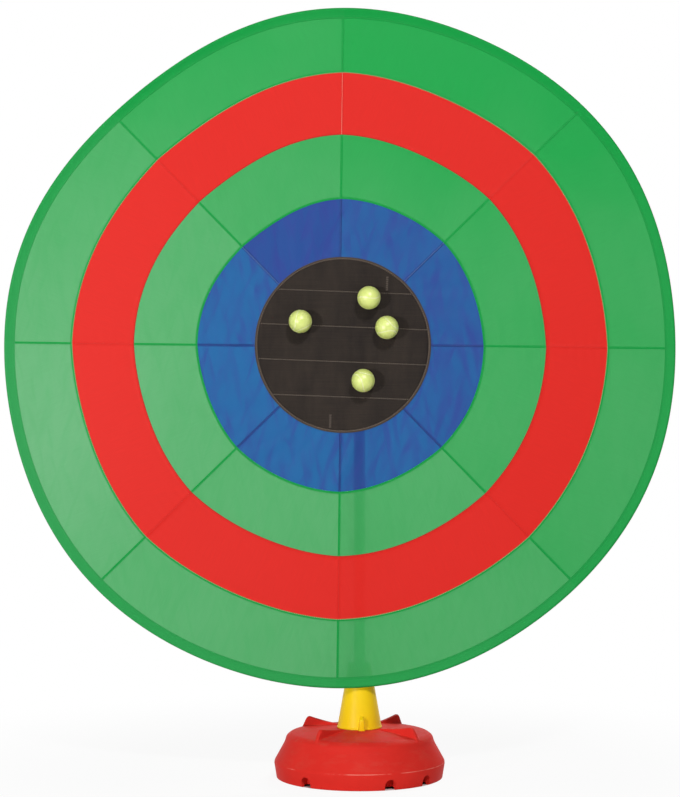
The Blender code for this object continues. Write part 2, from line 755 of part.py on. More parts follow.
def make_hem():
    """A strip folded round the hoop, with the edge of the outer panels between its two leaves."""
    middle = HOOP_RADIUS - bead_radius
    slit = CLOTH / 2 + GAP
    leaf = slit + CLOTH
    inner_edge = HOOP_RADIUS - HEM_WIDTH
    step = math.tau / BEAD_SIDES
    neck = middle - bore(bead_radius, BEAD_SIDES) - CLOTH
    outside = [(inner_edge, leaf), (neck, leaf)]
    for i in range(BEAD_SIDES - 1):
        turn = step * (BEAD_SIDES / 2 - 1 - i)
        outside.append((middle + bead_radius * math.cos(turn), bead_radius * math.sin(turn)))
    outside += [(neck, -leaf), (inner_edge, -leaf)]
    mouth = middle - math.sqrt(channel_radius**2 - slit**2)
    inside = [(inner_edge, -slit), (mouth, -slit)]
    for i in range(BEAD_SIDES - 1):
        turn = step * (i + 1 - BEAD_SIDES / 2)
        inside.append((middle + channel_radius * math.cos(turn), channel_radius * math.sin(turn)))
    inside += [(mouth, slit), (inner_edge, slit)]
    bm = facing_front(turned(outside + inside, HEM_STEPS, start=hem_start()))
    place("hem_sleeve", out_of_round(bm), hem_cloth, face)


def hem_start():
    """Half a step on from the bottom, so that one straight run of the hem lies across it."""
    return math.tau * (0.75 + 0.5 / HEM_STEPS)


def make_hoop():
    """A sprung rod bent to a ring, its two ends pushed into a short tube at the bottom."""
    middle = HOOP_RADIUS - bead_radius
    profile = []
    for i in range(BEAD_SIDES):
        turn = math.tau * i / BEAD_SIDES
        profile.append((middle + ROD_RADIUS * math.cos(turn), ROD_RADIUS * math.sin(turn)))
    bm = facing_front(turned(profile, HEM_STEPS, start=hem_start()))
    rod = place("hoop_rod", out_of_round(bm), rod_resin, face)
    ends = []
    for side in (-0.5, 0.5):
        angle = -math.pi / 2 + side * math.tau / HEM_STEPS
        reach = middle * (1 + lobes(angle))
        ends.append(Vector((reach * math.cos(angle), 0, reach * math.sin(angle))))
    spot = (ends[0] + ends[1]) / 2
    pitch = -math.atan2(ends[1].z - ends[0].z, ends[1].x - ends[0].x)
    wide = ferrule_radius * 2
    cutter = bmesh.new()
    bmesh.ops.create_cube(cutter, size=1, matrix=Matrix.Diagonal((ROD_END_GAP, wide, wide, 1)))
    split = place("rod end gap", cutter, None, face, spot)
    split.rotation_euler.y = pitch
    boolean(rod, split, "DIFFERENCE")
    half = FERRULE_LENGTH / 2
    walls = [(hole_radius, -half), (ferrule_radius, -half), (ferrule_radius, half), (hole_radius, half)]
    bm = turned(walls, BEAD_SIDES)
    bmesh.ops.rotate(bm, verts=bm.verts, cent=(0, 0, 0), matrix=Matrix.Rotation(math.pi / 2, 3, "Y"))
    ferrule = place("hoop_ferrule", bm, brass_metal, face, spot)
    ferrule.rotation_euler.y = pitch


def make_patch():
    """Black backing cloth sewn into the blue ring, five hook strips on it and a binding round them."""
    bm = bmesh.new()
    edge = patch_edge(joint_radius)
    corners = PANELS * PANEL_STEPS
    rim = []
    for i in range(corners):
        angle = SEAM_TURN + i * math.tau / corners
        radius = edge(angle) - GAP
        rim.append(bm.verts.new((radius * math.cos(angle), 0, radius * math.sin(angle))))
    bm.faces.new(rim)
    thicken(bm, CLOTH)
    place("centre_backing", bm, black_canvas, face)
    front = -CLOTH / 2 - GAP
    for number in range(STRIPS):
        bm = hook_strip(number)
        place(f"hook_strip_{number + 1}", bm, hook_tape, patch, (0, front - STRIP_THICKNESS / 2, 0))
    inner, outer = PATCH_RADIUS - BINDING_WIDTH, PATCH_RADIUS
    edge_height, round_in = BINDING_THICKNESS / 2, BINDING_WIDTH / 4
    profile = [
        (inner, 0),
        (outer, 0),
        (outer, edge_height),
        (outer - round_in, BINDING_THICKNESS),
        (inner + round_in, BINDING_THICKNESS),
        (inner, edge_height),
    ]
    bm = facing_front(turned(profile, PATCH_SIDES))
    place("centre_binding", bm, binding_tape, patch, (0, front, 0))


def hook_strip(number):
    """One strip of the patch, cut from a disc by the lines above and below it."""
    bm = bmesh.new()
    radius = (PATCH_RADIUS - BINDING_WIDTH) * math.cos(math.pi / PATCH_SIDES) - GAP
    bmesh.ops.create_circle(bm, cap_ends=True, segments=PATCH_SIDES, radius=radius)
    facing_front(bm)
    normal = Vector((-math.sin(STRIP_SLOPE), 0, math.cos(STRIP_SLOPE)))
    top = (STRIPS / 2 - number) * STRIP_WIDTH + STRIP_SHIFT
    cuts = [(top - GAP / 2, 1)] if number > 0 else []
    if number < STRIPS - 1:
        cuts.append((top - STRIP_WIDTH + GAP / 2, -1))
    for offset, outwards in cuts:
        bmesh.ops.bisect_plane(
            bm,
            geom=bm.verts[:] + bm.edges[:] + bm.faces[:],
            plane_co=normal * offset,
            plane_no=normal * outwards,
            clear_outer=True,
        )
    thicken(bm, STRIP_THICKNESS)
    return bm


def round_back(radius, height):
    """The half circle behind the pole, as points from its right side to its left."""
    turns = [i * math.tau / POCKET_SIDES for i in range(POCKET_SIDES // 2 + 1)]
    return [(radius * math.cos(t), radius * math.sin(t), height) for t in turns]


def lofted(bottom, top):
    """A closed shape between two outlines with as many points each."""
    bm = bmesh.new()
    low = [bm.verts.new(p) for p in bottom]
    high = [bm.verts.new(p) for p in top]
    bm.faces.new(low)
    bm.faces.new(high)
    for i in range(len(low)):
        j = (i + 1) % len(low)
        bm.faces.new((low[i], low[j], high[j], high[i]))
    return bm


def make_pocket():
    """A canvas pocket on the back of the patch, closed at the top, that drops over the pole."""
    inner = bore(POLE_RADIUS + POCKET_SLACK, POCKET_SIDES)
    outer = inner + POCKET_CLOTH
    wing = outer + POCKET_FLANGE

    def outside(height):
        front = face_y(height, CLOTH / 2 + GAP)
        seam = front + POCKET_CLOTH
        right = [(wing, front, height), (wing, seam, height), (outer, seam, height)]
        left = [(-outer, seam, height), (-wing, seam, height), (-wing, front, height)]
        return right + round_back(outer, height) + left

    def hollow(height):
        ahead = face_y(height) - POCKET_CLOTH
        return [(inner, ahead, height), *round_back(inner, height), (-inner, ahead, height)]

    ceiling = pole_top + GAP
    floor = ceiling - POCKET_LENGTH
    body = lofted(outside(floor), outside(ceiling + POCKET_CLOTH))
    pocket = place("pole_pocket", body, black_canvas, target)
    room = lofted(hollow(floor - POCKET_CLOTH), hollow(ceiling))
    boolean(pocket, place("pocket room", room, None, target), "DIFFERENCE")


def make_balls():
    """Four felt balls that stick to the hooks."""
    depth = -CLOTH / 2 - 2 * GAP - STRIP_THICKNESS - BALL_RADIUS
    for i, (x, z) in enumerate(BALL_PLACES, 1):
        bm = bmesh.new()
        bmesh.ops.create_uvsphere(
            bm, u_segments=BALL_SIDES, v_segments=BALL_BANDS, radius=BALL_RADIUS
        )
        place(f"ball_{i}", facing_front(bm), yellow_felt, patch, (x, depth, z))


make_base_shell()
make_ballast()
make_cone_socket()
make_collar()
make_poles()
make_rings()
make_hem()
make_hoop()
make_patch()
make_pocket()
make_balls()
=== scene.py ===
import math
from collections import defaultdict

import bmesh
import bpy
from mathutils import Matrix, Vector, kdtree, noise


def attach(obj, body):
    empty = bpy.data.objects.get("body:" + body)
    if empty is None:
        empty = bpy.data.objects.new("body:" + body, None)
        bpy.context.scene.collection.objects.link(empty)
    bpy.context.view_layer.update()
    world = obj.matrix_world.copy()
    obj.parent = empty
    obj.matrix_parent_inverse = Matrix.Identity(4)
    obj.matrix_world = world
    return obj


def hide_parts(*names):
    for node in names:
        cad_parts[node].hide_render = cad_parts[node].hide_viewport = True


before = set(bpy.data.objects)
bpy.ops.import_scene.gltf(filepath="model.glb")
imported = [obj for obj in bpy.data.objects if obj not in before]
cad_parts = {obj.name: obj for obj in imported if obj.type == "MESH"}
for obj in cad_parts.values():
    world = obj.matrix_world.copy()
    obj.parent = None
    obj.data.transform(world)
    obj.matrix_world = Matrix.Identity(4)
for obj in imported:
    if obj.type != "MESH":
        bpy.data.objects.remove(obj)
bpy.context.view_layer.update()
print("CAD frame loaded")

# Camera, lamps and white studio

view = {"place": (-0.0007, -5.0, 0.8845), "lens": 113.0, "sensor": 36.0}
lamps = {  # place, size and power
    "keyLamp": ((-3.55, -5.25, 1.0), 0.62, 179.0),
    "highLamp": ((1.15, -5.60, 5.20), 0.73, 238.0),
    "backLamp": ((2.40, 4.80, 5.20), 2.4, 190.0),
}
studio = {
    "lampsAimAt": (0.0, 0.0, 0.95),
    "floorSize": 60.0,
    "floorHeight": -0.0005,
    "white": "FFFFFF",
    "paper": "EDEDED",
    "fill": 0.12,
    "shadowShare": 0.09,
    "shadowFade": (0.5, 1.5),
    "poleX": 0.045,
    "coveredRadius": 0.1915,  # the floor under the base keeps its own shade
}


def toLinear(code):
    # An sRGB hex colour as the linear red, green, blue and alpha that nodes take
    parts = [int(code[i:i + 2], 16) / 255 for i in (0, 2, 4)]
    return (*[c / 12.92 if c <= 0.04045 else ((c + 0.055) / 1.055) ** 2.4 for c in parts], 1.0)


def addNode(tree, kind, inputs=None, **settings):
    # One shader node. Each input is a value, a hex colour, or a node or socket to link from
    node = tree.nodes.new("ShaderNode" + kind)
    for key, value in settings.items():
        setattr(node, key, value)
    for key, value in (inputs or {}).items():
        if isinstance(value, bpy.types.Node):
            value = next(socket for socket in value.outputs if socket.enabled)
        if isinstance(value, bpy.types.NodeSocket):
            tree.links.new(value, node.inputs[key])
        else:
            node.inputs[key].default_value = toLinear(value) if isinstance(value, str) else value
    return node


def startMaterial(name):
    # A new material, its node tree and the piece's own coordinates
    made = bpy.data.materials.new(name)
    made.use_nodes = True
    tree = made.node_tree
    tree.nodes.clear()
    return made, tree, addNode(tree, "TexCoord").outputs["Object"]


def endMaterial(made, looks, height=None, depth=0.0, strength=1.0):
    # Ends a material in one body with these looks, and with bumps this deep in metres
    tree = made.node_tree
    if height:
        looks["Normal"] = addNode(tree, "Bump", {"Height": height, "Distance": depth, "Strength": strength})
    addNode(tree, "OutputMaterial", {"Surface": addNode(tree, "BsdfPrincipled", looks)})
    return made


def makeObject(name, bm, material=None):
    mesh = bpy.data.meshes.new(name)
    bm.to_mesh(mesh)
    bm.free()
    if material:
        mesh.materials.append(material)
    made = bpy.data.objects.new(name, mesh)
    bpy.context.scene.collection.objects.link(made)
    return made


def aimAt(place, target):
    # A matrix that puts something at place and turns its -Z towards target
    turn = (Vector(target) - Vector(place)).to_track_quat("-Z", "Y")
    return Matrix.Translation(place) @ turn.to_matrix().to_4x4()


def whiteTo(tree):
    # 1 for the rays that show the studio, straight or in a gloss or through glass, and 0 for its light
    path = addNode(tree, "LightPath")
    seen = path.outputs["Is Camera Ray"]
    for kind in ("Is Glossy Ray", "Is Transmission Ray"):
        seen = addNode(tree, "Math", {0: seen, 1: path.outputs[kind]}, operation="MAXIMUM")
    return seen


def makeStudio():
    scene = bpy.context.scene
    scene.view_settings.view_transform = "Standard"
    lens = bpy.data.cameras.new("camera")
    lens.lens = view["lens"]
    lens.sensor_width = view["sensor"]
    lens.sensor_fit = "HORIZONTAL"
    camera = bpy.data.objects.new("camera", lens)
    camera.location = view["place"]
    camera.rotation_euler = (math.radians(90), 0, 0)
    scene.collection.objects.link(camera)
    scene.camera = camera
    for name, (place, size, power) in lamps.items():
        light = bpy.data.lights.new(name, "AREA")
        light.shape = "DISK"
        light.size = size
        light.energy = power
        lamp = bpy.data.objects.new(name, light)
        lamp.matrix_world = aimAt(place, studio["lampsAimAt"])
        scene.collection.objects.link(lamp)

    # White where it is seen and a plain low fill for everything else
    world = bpy.data.worlds.new("studio")
    world.use_nodes = True
    tree = world.node_tree
    tree.nodes.clear()
    strength = addNode(tree, "MapRange", {"Value": whiteTo(tree), "To Min": studio["fill"], "To Max": 1.0})
    glow = addNode(tree, "Background", {"Color": studio["white"], "Strength": strength})
    addNode(tree, "OutputWorld", {"Surface": glow})
    scene.world = world

    # Floor of white paper that keeps the shadow
    paper, tree, here = startMaterial("white studio paper")
    fromPole = addNode(tree, "VectorMath", {0: here, 1: (studio["poleX"], 0, 0)}, operation="DISTANCE")
    near, far = studio["shadowFade"]
    fade = {"From Min": near, "From Max": far, "To Min": 1 - studio["shadowShare"], "To Max": 1.0}
    share = addNode(tree, "MapRange", {"Value": fromPole, **fade}, interpolation_type="SMOOTHSTEP")
    reach = {0: fromPole, 1: studio["coveredRadius"]}
    for other in (whiteTo(tree), addNode(tree, "Math", reach, operation="GREATER_THAN")):
        share = addNode(tree, "Math", {0: share, 1: other}, operation="MULTIPLY")
    lit = addNode(tree, "BsdfDiffuse", {"Color": studio["paper"]})
    glow = addNode(tree, "Emission", {"Color": studio["white"]})
    addNode(tree, "OutputMaterial", {"Surface": addNode(tree, "MixShader", {0: share, 1: lit, 2: glow})})
    bm = bmesh.new()
    bmesh.ops.create_grid(bm, x_segments=1, y_segments=1, size=studio["floorSize"] / 2)
    bmesh.ops.translate(bm, verts=bm.verts, vec=(0, 0, studio["floorHeight"]))
    makeObject("studioFloor", bm, paper)


makeStudio()
print("studio ready")

# Shared modelling helpers


def finishPiece(name, bm, material, body, node=None, sharp=35.0):
    # A finished piece that rides on a body and stands for its CAD node
    piece = makeObject(name, bm, material)
    piece.data.shade_smooth()
    piece.data.set_sharp_from_angle(angle=math.radians(sharp))
    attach(piece, body)
    if node:
        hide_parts(node)
    return piece


def closeDoubles(bm, distance=1e-6):
    bmesh.ops.remove_doubles(bm, verts=bm.verts, dist=distance)


def mergeAndFace(bm):
    # Closes the doubles and faces every side out
    closeDoubles(bm)
    bmesh.ops.recalc_face_normals(bm, faces=bm.faces)


def moved(bm, place):
    bmesh.ops.translate(bm, verts=bm.verts, vec=place)
    return bm


def smooth(value, low, high):
    # A soft step from 0 at low to 1 at high
    t = min(max((value - low) / (high - low), 0.0), 1.0)
    return t * t * (3 - 2 * t)


def around(radius, angle, y=0.0):
    return Vector((radius * math.cos(angle), y, radius * math.sin(angle)))


def areaOf(bm):
    return sum(f.calc_area() for f in bm.faces)


def gridPiece(across, along, placed):
    # A grid whose points go where placed(across share, along share, column, row) says
    bm = bmesh.new()
    columns, rows = len(across) - 1, len(along) - 1
    bmesh.ops.create_grid(bm, x_segments=columns, y_segments=rows, size=0.5)
    for v in bm.verts:
        column = round((v.co.x + 0.5) * columns)
        row = round((v.co.y + 0.5) * rows)
        v.co = placed(across[column], along[row], column, row)
    return bm


def even(steps):
    return [i / steps for i in range(steps + 1)]


def seamStops(length, steps, folded=True):
    # Shares of a length, packed close at both ends so that the sewn edges keep their shape
    near = [0.0, 0.0002, 0.0015, 0.004, 0.0055, 0.008] if folded else [0.0, 0.002, 0.005]
    far = [0.008, 0.004, 0.0015, 0.0]
    middle = [near[-1] + (length - near[-1] - far[0]) * i / steps for i in range(1, steps)]
    return [d / length for d in near + middle] + [1 - d / length for d in far]


def mapBy(bm, name, placed):
    # A map whose value at each corner is placed(vertex)
    layer = bm.loops.layers.uv.new(name)
    for f in bm.faces:
        for loop in f.loops:
            loop[layer].uv = placed(loop.vert)


def mapInMetres(bm, turn=0.0):
    # The cloth's own thread directions as its map
    along, up = math.cos(turn), math.sin(turn)
    mapBy(bm, "UVMap", lambda v: (-v.co.x * up + v.co.z * along, v.co.x * along + v.co.z * up))


# The face, in its own plane: x to the right, z up, y towards the back

face = {
    "middle": (0.0, -0.0178968, 1.0084718),
    "leanDegrees": 1.7225562,
    "radius": 0.7894,
    "lobes": (  # how the hoop sits out of round: waves, height, degrees
        (1, 0.0074, -61), (2, 0.0109, 53), (3, 0.0037, -50),
        (4, 0.0014, -10), (5, 0.0026, 25), (6, 0.0041, -22),
    ),
    "panels": 8,
    "seamTurn": math.radians(-0.7),
    "patchX": 0.0061,
    "patchZ": 0.0012,
    "patchRadius": 0.2057,
    "patchJoint": 0.2025,
}
lean = math.radians(face["leanDegrees"])
faceMatrix = Matrix.Translation(face["middle"]) @ Matrix.Rotation(-lean, 4, "X")
patchMiddle = Vector((face["patchX"], 0, face["patchZ"]))
sector = math.tau / face["panels"]


def toFace(bm):
    bmesh.ops.transform(bm, matrix=faceMatrix, verts=bm.verts)
    return bm


def waves(angle, parts):
    return sum(h * math.cos(n * (angle - math.radians(turn))) for n, h, turn in parts)


def lobes(angle):
    return waves(angle, face["lobes"]) / face["radius"]


def ringEdge(radius, sag=0.0, inset=0.0, drift=()):
    # The edge of a ring of cloth, drawn in between the seams
    def edge(angle):
        between = abs(math.sin(face["panels"] / 2 * (angle - face["seamTurn"])))
        return radius * (1 + lobes(angle)) - sag * between - inset + waves(angle, drift)

    return edge


def patchEdge(angle):
    # The joint with the blue panels: a circle about the middle of the patch, not that of the face
    along = patchMiddle.x * math.cos(angle) + patchMiddle.z * math.sin(angle)
    across = patchMiddle.x * math.sin(angle) - patchMiddle.z * math.cos(angle)
    return along + math.sqrt(face["patchJoint"] ** 2 - across**2)


cloth = {
    "billow": 0.0030,
    "billowSize": 0.42,
    "flatFrom": (0.715, 0.762),  # the hem draws the cloth flat between these radii
    "patchReach": 0.035,
    "seamPucker": 0.00065,
    "puckerPitch": 0.021,
    "puckerReach": 0.032,
    "ringPitch": 1.7,  # of the gathers along the ring seams, against those of the radial seams
    "ringPucker": 0.6,
    "ringReach": 0.024,
    "blueFolds": 0.0028,
    "blueMiddle": 0.27,
    "blueFade": (0.31, 0.40),
    "foldPitch": 0.055,
    "lapHeight": 0.00055,
    "lapWidth": 0.0045,
    "seamWidth": 0.0058,
    "seamBehind": 0.0004,
    "ringBehind": 0.0005,
    "seamStep": 0.01,
    "step": 0.0075,
    "hemSeam": 0.7776,
    "edges": {  # radius, sag between the seams, and how the cut wanders: waves, height, degrees
        "redOuter": (0.6286, 0.0065, ((1, 0.0032, 100), (2, 0.0032, 109), (4, 0.0019, 2))),
        "redInner": (0.4843, 0.0045, ((1, 0.0029, 92), (2, 0.0035, 115), (4, 0.0016, 0))),
        "blueOuter": (0.3361, 0.003, ((1, 0.0021, 60), (2, 0.0018, 102), (4, 0.0019, -11))),
    },
}


def clothDepth(x, z):
    # How far the cloth stands behind (+) or in front (-) of its flat plane
    radius = math.hypot(x, z)
    angle = math.atan2(z, x)
    share = radius / (1 + lobes(angle))
    fromPatch = (Vector((x, 0, z)) - patchMiddle).length - face["patchRadius"]
    free = smooth(fromPatch, -0.002, cloth["patchReach"]) * (1 - smooth(share, *cloth["flatFrom"]))
    size = cloth["billowSize"]
    depth = cloth["billow"] * noise.noise(Vector((x / size, 3.1, z / size)))

    # Small gathers that run out from the eight radial seams
    nearest = round((angle - face["seamTurn"]) / sector)
    aside = radius * math.sin(angle - nearest * sector - face["seamTurn"])
    wander = 2.5 * noise.noise(Vector((x * 9, 1.7, z * 9)))
    gather = math.sin(math.tau * radius / cloth["puckerPitch"] + wander + 2 * nearest)
    pucker = cloth["seamPucker"] * (0.55 + 0.45 * noise.noise(Vector((x * 5, 8.2, z * 5))))
    depth += pucker * gather * math.exp(-((aside / cloth["puckerReach"]) ** 2))

    # Gathers along the three ring seams
    for ring, _, _ in cloth["edges"].values():
        off = (share - ring) / cloth["ringReach"]
        if abs(off) < 3.75:
            pitch = cloth["puckerPitch"] * cloth["ringPitch"]
            gather = math.sin(math.tau * angle * share / pitch + wander * 2)
            depth += cloth["ringPucker"] * pucker * gather * math.exp(-(off**2))

    # Longer soft folds that fan out across the blue ring
    inBlue = 1 - smooth(share, *cloth["blueFade"])
    if inBlue > 0:
        along = angle * cloth["blueMiddle"] + 0.5 * (share - cloth["blueMiddle"])
        folds = noise.noise(Vector((along / cloth["foldPitch"] * 1.8, share * 5, 4.4)))
        folds += 0.5 * noise.noise(Vector((along / cloth["foldPitch"] * 4.1, share * 8, 9.4)))
        depth += cloth["blueFolds"] * inBlue * folds
    return depth * free


def laidBehind(spot, behind):
    return Vector((spot.x, clothDepth(spot.x, spot.z) + behind, spot.z))


def onCloth(angle, radius, behind=0.0):
    return laidBehind(around(radius, angle), behind)


# Materials of the face

nylon = {
    "weave": 0.0012,  # real threads are 0.2 mm apart, drawn coarser so that they show close up
    "weaveDepth": 0.00006,
    "roughness": 0.52,
    "paintedSheenDegrees": 200.0,  # each panel is cut another way of the cloth; the painted sheen this stands for, brightest towards this angle, steps at seams
    "paintedSheenTone": 0.20,
    "middleTone": 0.40,
    # painted shade over the top of the face, and a painted pool of light on its left
    "paintedTopShade": (0.12, 0.75, -0.32),
    "paintedLightPool": ((-0.72, 0, -0.18), 0.50, 0.30),
    # size and turns of the streaks of painted crease shade
    "fold": (0.019, 0.120),
    "creaseShadeTurns": (11.0, -19.0),
}


def nylonWeave(tree, place):
    # Over and under threads as a height, from the piece's own map in metres
    scale = math.pi / 10 / nylon["weave"]
    inputs = {"Vector": place, "Scale": scale, "Distortion": 0.0}
    across, along = (addNode(tree, "TexWave", inputs, bands_direction=axis) for axis in "XY")
    check = addNode(tree, "TexChecker", {"Vector": place, "Scale": 1 / nylon["weave"]})
    threads = {0: check.outputs["Fac"], 2: across.outputs["Fac"], 3: along.outputs["Fac"]}
    return addNode(tree, "Mix", threads, data_type="FLOAT")


def panelTone(tree, place, here):
    # A tone and the panel's number. The tone holds painted sheen that steps from panel to panel, painted
    # shade over the top, a painted pool of light on the left and a random drift
    parts = addNode(tree, "SeparateXYZ", {0: here})
    angle = addNode(tree, "Math", {0: parts.outputs["Z"], 1: parts.outputs["X"]}, operation="ARCTAN2")
    turned = {0: angle, 1: 1 / sector, 2: -face["seamTurn"] / sector}
    turned = addNode(tree, "Math", turned, operation="MULTIPLY_ADD")
    panel = addNode(tree, "Math", {0: turned}, operation="FLOOR")
    # Painted sheen: brightest on the panels towards the left, darker on the others
    middle = {0: panel, 1: sector, 2: sector / 2 - math.radians(nylon["paintedSheenDegrees"])}
    middle = addNode(tree, "Math", middle, operation="MULTIPLY_ADD")
    grain = addNode(tree, "Math", {0: middle}, operation="COSINE")
    tone = {0: grain, 1: nylon["paintedSheenTone"], 2: nylon["middleTone"]}
    tone = addNode(tree, "Math", tone, operation="MULTIPLY_ADD")
    # Painted shade over the top and a painted pool of light on the left, then a random drift
    low, high, shade = nylon["paintedTopShade"]
    top = {"Value": parts.outputs["Z"], "From Min": low, "From Max": high, "To Max": shade}
    spot, reach, light = nylon["paintedLightPool"]
    away = addNode(tree, "VectorMath", {0: here, 1: spot}, operation="DISTANCE")
    spot = {"Value": away, "From Min": reach, "From Max": 0.0, "To Max": light}
    cloud = addNode(tree, "TexNoise", {"Vector": place, "Scale": 3.2, "Detail": 3.0, "Roughness": 0.5})
    for inputs in (top, spot):
        drift = addNode(tree, "MapRange", inputs, interpolation_type="SMOOTHSTEP")
        tone = addNode(tree, "Math", {0: tone, 1: drift}, operation="ADD")
    drift = addNode(tree, "MapRange", {"Value": cloud, "To Min": -0.15, "To Max": 0.15})
    return addNode(tree, "Math", {0: tone, 1: drift}, operation="ADD", use_clamp=True), panel


def paintedCreaseShade(tree, here, folds):
    # Painted shade in soft creases: streaks where the cloth is darker and less sheer
    wide, long = nylon["fold"]
    creaseShade = None
    for turn in nylon["creaseShadeTurns"]:
        laid = addNode(tree, "Mapping", {"Vector": here, "Rotation": (0, math.radians(turn), 0)})
        laid = addNode(tree, "Mapping", {"Vector": laid, "Scale": (1 / wide, 0, 1 / long)})
        inputs = {"Vector": laid, "Scale": 1.0, "Detail": 2.0, "Roughness": 0.5, "Distortion": 0.5}
        streak = addNode(tree, "TexNoise", inputs)
        inputs = {"Value": streak, "From Min": 0.43, "From Max": 0.76, "To Max": folds}
        streak = addNode(tree, "MapRange", inputs, interpolation_type="SMOOTHSTEP")
        both = {0: creaseShade, 1: streak}
        creaseShade = addNode(tree, "Math", both, operation="MAXIMUM") if creaseShade else streak
    return creaseShade


def makeNylon(name, deep, pale, see=None, seeColour="FFFFFF", folds=0.0, creaseShadeColour=None, dense=9,
              laps=(0, 0), lapColour=None, glow=0.16):
    # Plain woven nylon, slightly sheer: its tone holds painted sheen, shade and light that drift over the
    # face and step from panel to panel, with painted shade in soft creases, and how sheer it is follows that
    # tone.
    # see is how sheer the deep and the pale cloth are, and dense is a panel that isn't sheer
    made, tree, place = startMaterial(name)
    here = addNode(tree, "Mapping", {"Vector": place, "Location": (0, 0, -face["middle"][2])})
    tone, panel = panelTone(tree, place, here)
    creaseShade = paintedCreaseShade(tree, here, folds)

    # Where the cloth is doubled, along a panel's first side and its inner edge
    away = addNode(tree, "SeparateXYZ", {0: addNode(tree, "UVMap", uv_map="laps")})
    single = 1.0
    for side, width in zip("XY", laps):
        if width:
            inputs = {"Value": away.outputs[side], "From Min": width * 0.8, "From Max": width * 1.2}
            layer = addNode(tree, "MapRange", inputs)
            single = addNode(tree, "Math", {0: single, 1: layer}, operation="MINIMUM")
    colour = addNode(tree, "Mix", {0: tone, 6: deep, 7: pale}, data_type="RGBA")
    # Painted crease shade
    colour = addNode(tree, "Mix", {0: creaseShade, 6: colour, 7: creaseShadeColour or deep}, data_type="RGBA")
    colour = addNode(tree, "Mix", {0: single, 6: lapColour or deep, 7: colour}, data_type="RGBA")
    uv = addNode(tree, "TexCoord").outputs["UV"]
    slub = addNode(tree, "Mapping", {"Vector": uv, "Scale": (900, 22, 1)})
    slub = addNode(tree, "TexNoise", {"Vector": slub, "Scale": 1.0, "Detail": 2.0})
    slub = addNode(tree, "MapRange", {"Value": slub, "To Min": 0.93, "To Max": 1.07})
    colour = addNode(tree, "VectorMath", {0: colour, "Scale": slub}, operation="SCALE")
    height = nylonWeave(tree, uv)
    bump = addNode(tree, "Bump", {"Height": height, "Distance": nylon["weaveDepth"], "Strength": 0.8})
    looks = {"Base Color": colour, "Roughness": nylon["roughness"], "Specular IOR Level": 0.15}
    dull = addNode(tree, "BsdfPrincipled", {**looks, "Normal": bump})
    through = addNode(tree, "BsdfTranslucent", {"Color": colour, "Normal": bump})
    woven = addNode(tree, "MixShader", {0: glow, 1: dull, 2: through})
    if see:
        holes = addNode(tree, "MapRange", {"Value": tone, "To Min": see[0], "To Max": see[1]})
        sheer = addNode(tree, "Math", {0: 1.0, 1: creaseShade}, operation="SUBTRACT")
        close = addNode(tree, "Math", {0: panel, 1: dense, 2: 0.5}, operation="COMPARE")
        loose = addNode(tree, "Math", {0: 1.0, 1: close}, operation="SUBTRACT")
        for share in (sheer, single, loose):
            holes = addNode(tree, "Math", {0: holes, 1: share}, operation="MULTIPLY")
        clear = addNode(tree, "BsdfTransparent", {"Color": seeColour})
        woven = addNode(tree, "MixShader", {0: holes, 1: woven, 2: clear})
    addNode(tree, "OutputMaterial", {"Surface": woven})
    return made


# folds sets how strong the painted crease shade is
greenNylon = makeNylon("green nylon taffeta", "089C43", "62AE74", (0.010, 0.045), folds=0.16,
                       creaseShadeColour="1F9A4A", laps=(0.0050, 0.0048), lapColour="0CA045")
redNylon = makeNylon("red nylon taffeta", "D9221A", "DE251D", (0.002, 0.006), folds=0.15,
                     laps=(0, 0.0020), lapColour="B02019", glow=0.05)
blueNylon = makeNylon("blue nylon taffeta", "264A90", "244E94", (0.040, 0.14), "00DCFF", folds=0.7,
                      creaseShadeColour="31408F", dense=2, laps=(0.0016, 0), lapColour="243F80")
hemNylon = makeNylon("green nylon in layers", "069F43", "38A55A")


def makeThread(name, code):
    # Spun polyester thread: dull, with its twist as a faint slant
    made, tree, here = startMaterial(name)
    fuzz = addNode(tree, "TexNoise", {"Vector": here, "Scale": 1400.0, "Detail": 2.0})
    deep = (*[0.7 * c for c in toLinear(code)[:3]], 1.0)
    colour = addNode(tree, "Mix", {0: fuzz, 6: deep, 7: code}, data_type="RGBA")
    looks = {"Base Color": colour, "Roughness": 0.75, "Sheen Weight": 0.2}
    return endMaterial(made, looks, fuzz, 0.0001, 0.6)


threads = {
    "green": makeThread("green polyester thread", "1C9F49"),
    "red": makeThread("red polyester thread", "D42720"),
    "blue": makeThread("blue polyester thread", "2A4788"),
    # The pale thread stands for painted light through stitch holes, and the light blue one for painted
    # highlights on seam ridges
    "pale": makeThread("paintedBacklight polyester thread", "E6D9C4"),
    "seamHighlight": makeThread("light blue polyester thread", "8FB6DC"),
    "tan": makeThread("tan polyester thread", "C8A888"),
    "brown": makeThread("grey brown polyester thread", "75675A"),
    "dark": makeThread("dark brown polyester thread", "483C33"),
}
print("cloth materials ready")

# Stitches

stitch = {
    "length": 0.0031,
    "gap": 0.0012,
    "width": 0.0006,
    "height": 0.0005,
    "ring": {  # from the panel's edge, thread, width against the plain stitch
        "outerGreen": (0.0010, "tan", 1.8),
        "red": (0.0012, "red", 1.0),
        "innerGreen": (0.0029, "green", 1.0),
    },
    # Lighter threads on three seams: painted highlights on the two upper blue seam ridges, and painted light
    # through the stitch holes of the top red seam
    "seams": {("red", 2): "pale", ("blue", 1): "seamHighlight", ("blue", 3): "seamHighlight"},
}


